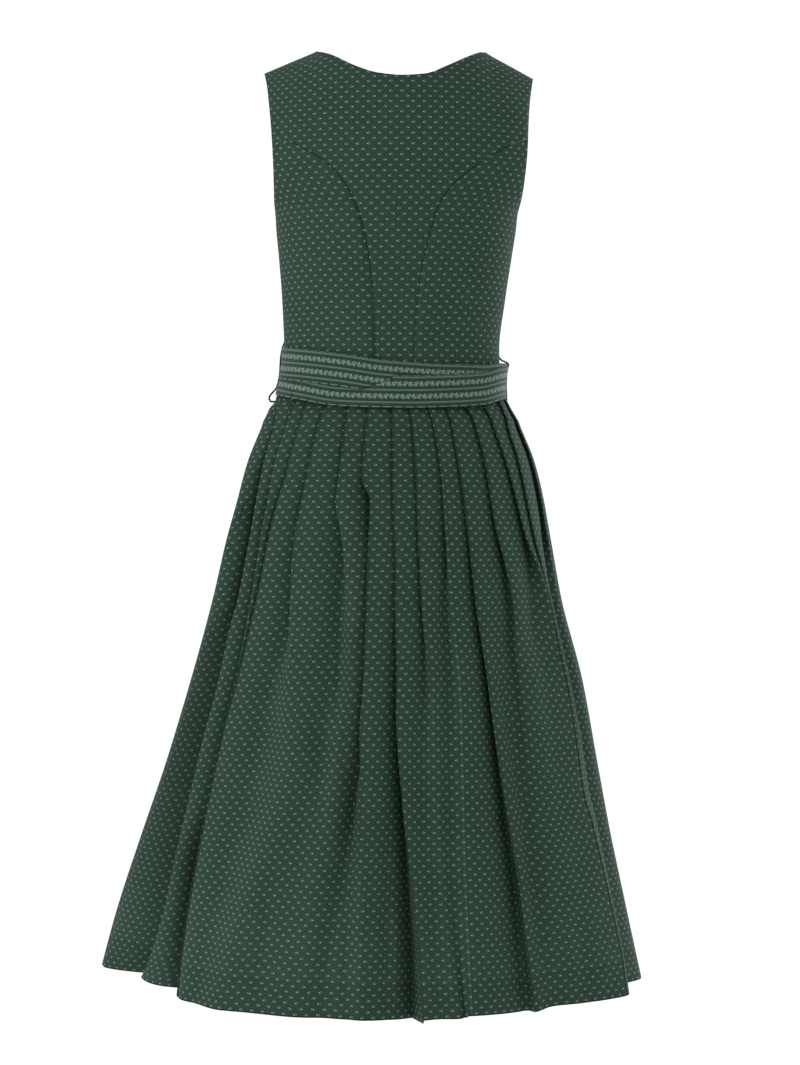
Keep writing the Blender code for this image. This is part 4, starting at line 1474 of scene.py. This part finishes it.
class DIRNDL_OT_loops(bpy.types.Operator):
    """Twist the thread loops that carry the ribbon at the side seams"""

    bl_idname = "dirndl.loops"
    bl_label = "Thread loops"

    def execute(self, context):
        depth = float(ribbon_outline.point(LOOP_BEARING, WAIST)[1])
        for name, points in LOOPS.items():
            line, at = loop_line(points, depth, STRAND_STEPS)
            tangent = np.gradient(line, axis=0)
            tangent /= np.linalg.norm(tangent, axis=1, keepdims=True)
            side = np.array([0.0, 1.0, 0.0])
            other = np.cross(tangent, side)
            curve = bpy.data.curves.new(name, "CURVE")
            curve.dimensions = "3D"
            curve.bevel_depth = STRAND_RADIUS * MM
            curve.bevel_resolution = 2
            curve.use_fill_caps = True
            for strand in (0.0, math.pi):
                turn = (2 * math.pi * at / STRAND_PITCH + strand)[:, None]
                path = line + STRAND_OFFSET * (np.cos(turn) * side + np.sin(turn) * other)
                spline = curve.splines.new("POLY")
                spline.points.add(len(path) - 1)
                for target, place in zip(spline.points, path):
                    target.co = (*(place * MM), 1.0)
            shape = bpy.data.objects.new("loop_curve", curve)
            mesh = bpy.data.meshes.new_from_object(shape)
            bpy.data.objects.remove(shape)
            bpy.data.curves.remove(curve)
            mesh.name = f"{name}_thread"
            mesh.shade_smooth()
            mesh.materials.clear()
            obj = new_object(f"{name}_thread", mesh)
            finish_piece(obj, thread_material(), name)
        return {"FINISHED"}


# ---- Stage ----

FRAME_HEIGHT = 1065
MM_PER_PIXEL = 1.15
CAMERA_DISTANCE = 3.2
CAMERA_ACROSS, CAMERA_HEIGHT = 0.001, -0.541
SENSOR = 36.0
PAPER = (0.93, 0.93, 0.93)
BACKDROP_STRENGTH = 1.05
KEY_PLACE, FILL_PLACE, LIGHT_SIZE = (-3.55, -1.4, 0.1), (2.75, 2.4, 0.1), (1.6, 2.2)


def area_light(name, place, target, size, power):
    light = bpy.data.lights.new(name, "AREA")
    light.shape = "RECTANGLE"
    light.size, light.size_y = size
    light.energy = power
    obj = new_object(name, light)
    obj.location = place
    obj.rotation_euler = (Vector(target) - Vector(place)).to_track_quat("-Z", "Y").to_euler()


class DIRNDL_OT_stage(bpy.types.Operator):
    """Set up the plain studio, its soft lights and the camera"""

    bl_idname = "dirndl.stage"
    bl_label = "Studio"

    def execute(self, context):
        stage = context.scene.dirndl_stage
        scene = context.scene
        scene.view_settings.view_transform = "Standard"
        world = bpy.data.worlds.new("studio")
        world.use_nodes = True
        tree = world.node_tree
        path = tree.nodes.new("ShaderNodeLightPath")
        strength = tree.nodes.new("ShaderNodeMapRange")
        strength.inputs["To Min"].default_value = stage.world_strength
        strength.inputs["To Max"].default_value = BACKDROP_STRENGTH
        tree.links.new(path.outputs["Is Camera Ray"], strength.inputs["Value"])
        background = tree.nodes["Background"]
        background.inputs["Color"].default_value = (1.0, 1.0, 1.0, 1.0)
        tree.links.new(strength.outputs[0], background.inputs["Strength"])
        scene.world = world

        bm = bmesh.new()
        bmesh.ops.create_circle(bm, cap_ends=True, segments=96, radius=stage.floor_radius)
        bmesh.ops.translate(bm, verts=bm.verts, vec=(0, 0, stage.floor_height))
        mesh = bpy.data.meshes.new("floor")
        bm.to_mesh(mesh)
        bm.free()
        floor = new_object("floor", mesh)
        paper = Graph("pale_paper", 0.9)
        paper.put(paper.inputs["Base Color"], PAPER)
        mesh.materials.append(paper.material)

        centre = (0.0, 0.0, CAMERA_HEIGHT)
        area_light("key", KEY_PLACE, centre, LIGHT_SIZE, stage.key_power)
        area_light("fill", FILL_PLACE, centre, LIGHT_SIZE, stage.fill_power)

        camera = bpy.data.cameras.new("camera")
        camera.sensor_width = SENSOR
        camera.lens = SENSOR * CAMERA_DISTANCE / (FRAME_HEIGHT * MM_PER_PIXEL * MM)
        obj = new_object("camera", camera)
        obj.location = (CAMERA_ACROSS, -CAMERA_DISTANCE, CAMERA_HEIGHT)
        obj.rotation_euler = (math.radians(90), 0, 0)
        scene.camera = obj
        return {"FINISHED"}


class DIRNDL_PT_panel(bpy.types.Panel):
    """Lists the steps and settings of the dress"""

    bl_idname = "DIRNDL_PT_panel"
    bl_label = "Dirndl Dress"
    bl_space_type = "VIEW_3D"
    bl_region_type = "UI"
    bl_category = "Dirndl"

    def draw(self, context):
        for operator in OPERATORS:
            self.layout.operator(operator.bl_idname)
        for key, group in GROUPS.items():
            settings = getattr(context.scene, key)
            for name in group.__annotations__:
                self.layout.prop(settings, name)


GROUPS = {"dirndl_cloth": DirndlCloth, "dirndl_ribbon": DirndlRibbon, "dirndl_stage": DirndlStage}
OPERATORS = (DIRNDL_OT_bodice, DIRNDL_OT_skirt, DIRNDL_OT_ribbon, DIRNDL_OT_loops, DIRNDL_OT_stage)
CLASSES = (*GROUPS.values(), *OPERATORS, DIRNDL_PT_panel)


def register():
    for cls in CLASSES:
        bpy.utils.register_class(cls)
    for key, group in GROUPS.items():
        setattr(bpy.types.Scene, key, bpy.props.PointerProperty(type=group))


def unregister():
    for key in GROUPS:
        delattr(bpy.types.Scene, key)
    for cls in reversed(CLASSES):
        bpy.utils.unregister_class(cls)


def main():
    register()
    bpy.ops.dirndl.bodice()
    bpy.ops.dirndl.skirt()
    bpy.ops.dirndl.ribbon()
    bpy.ops.dirndl.loops()
    bpy.ops.dirndl.stage()


if __name__ == "__main__":
    main()
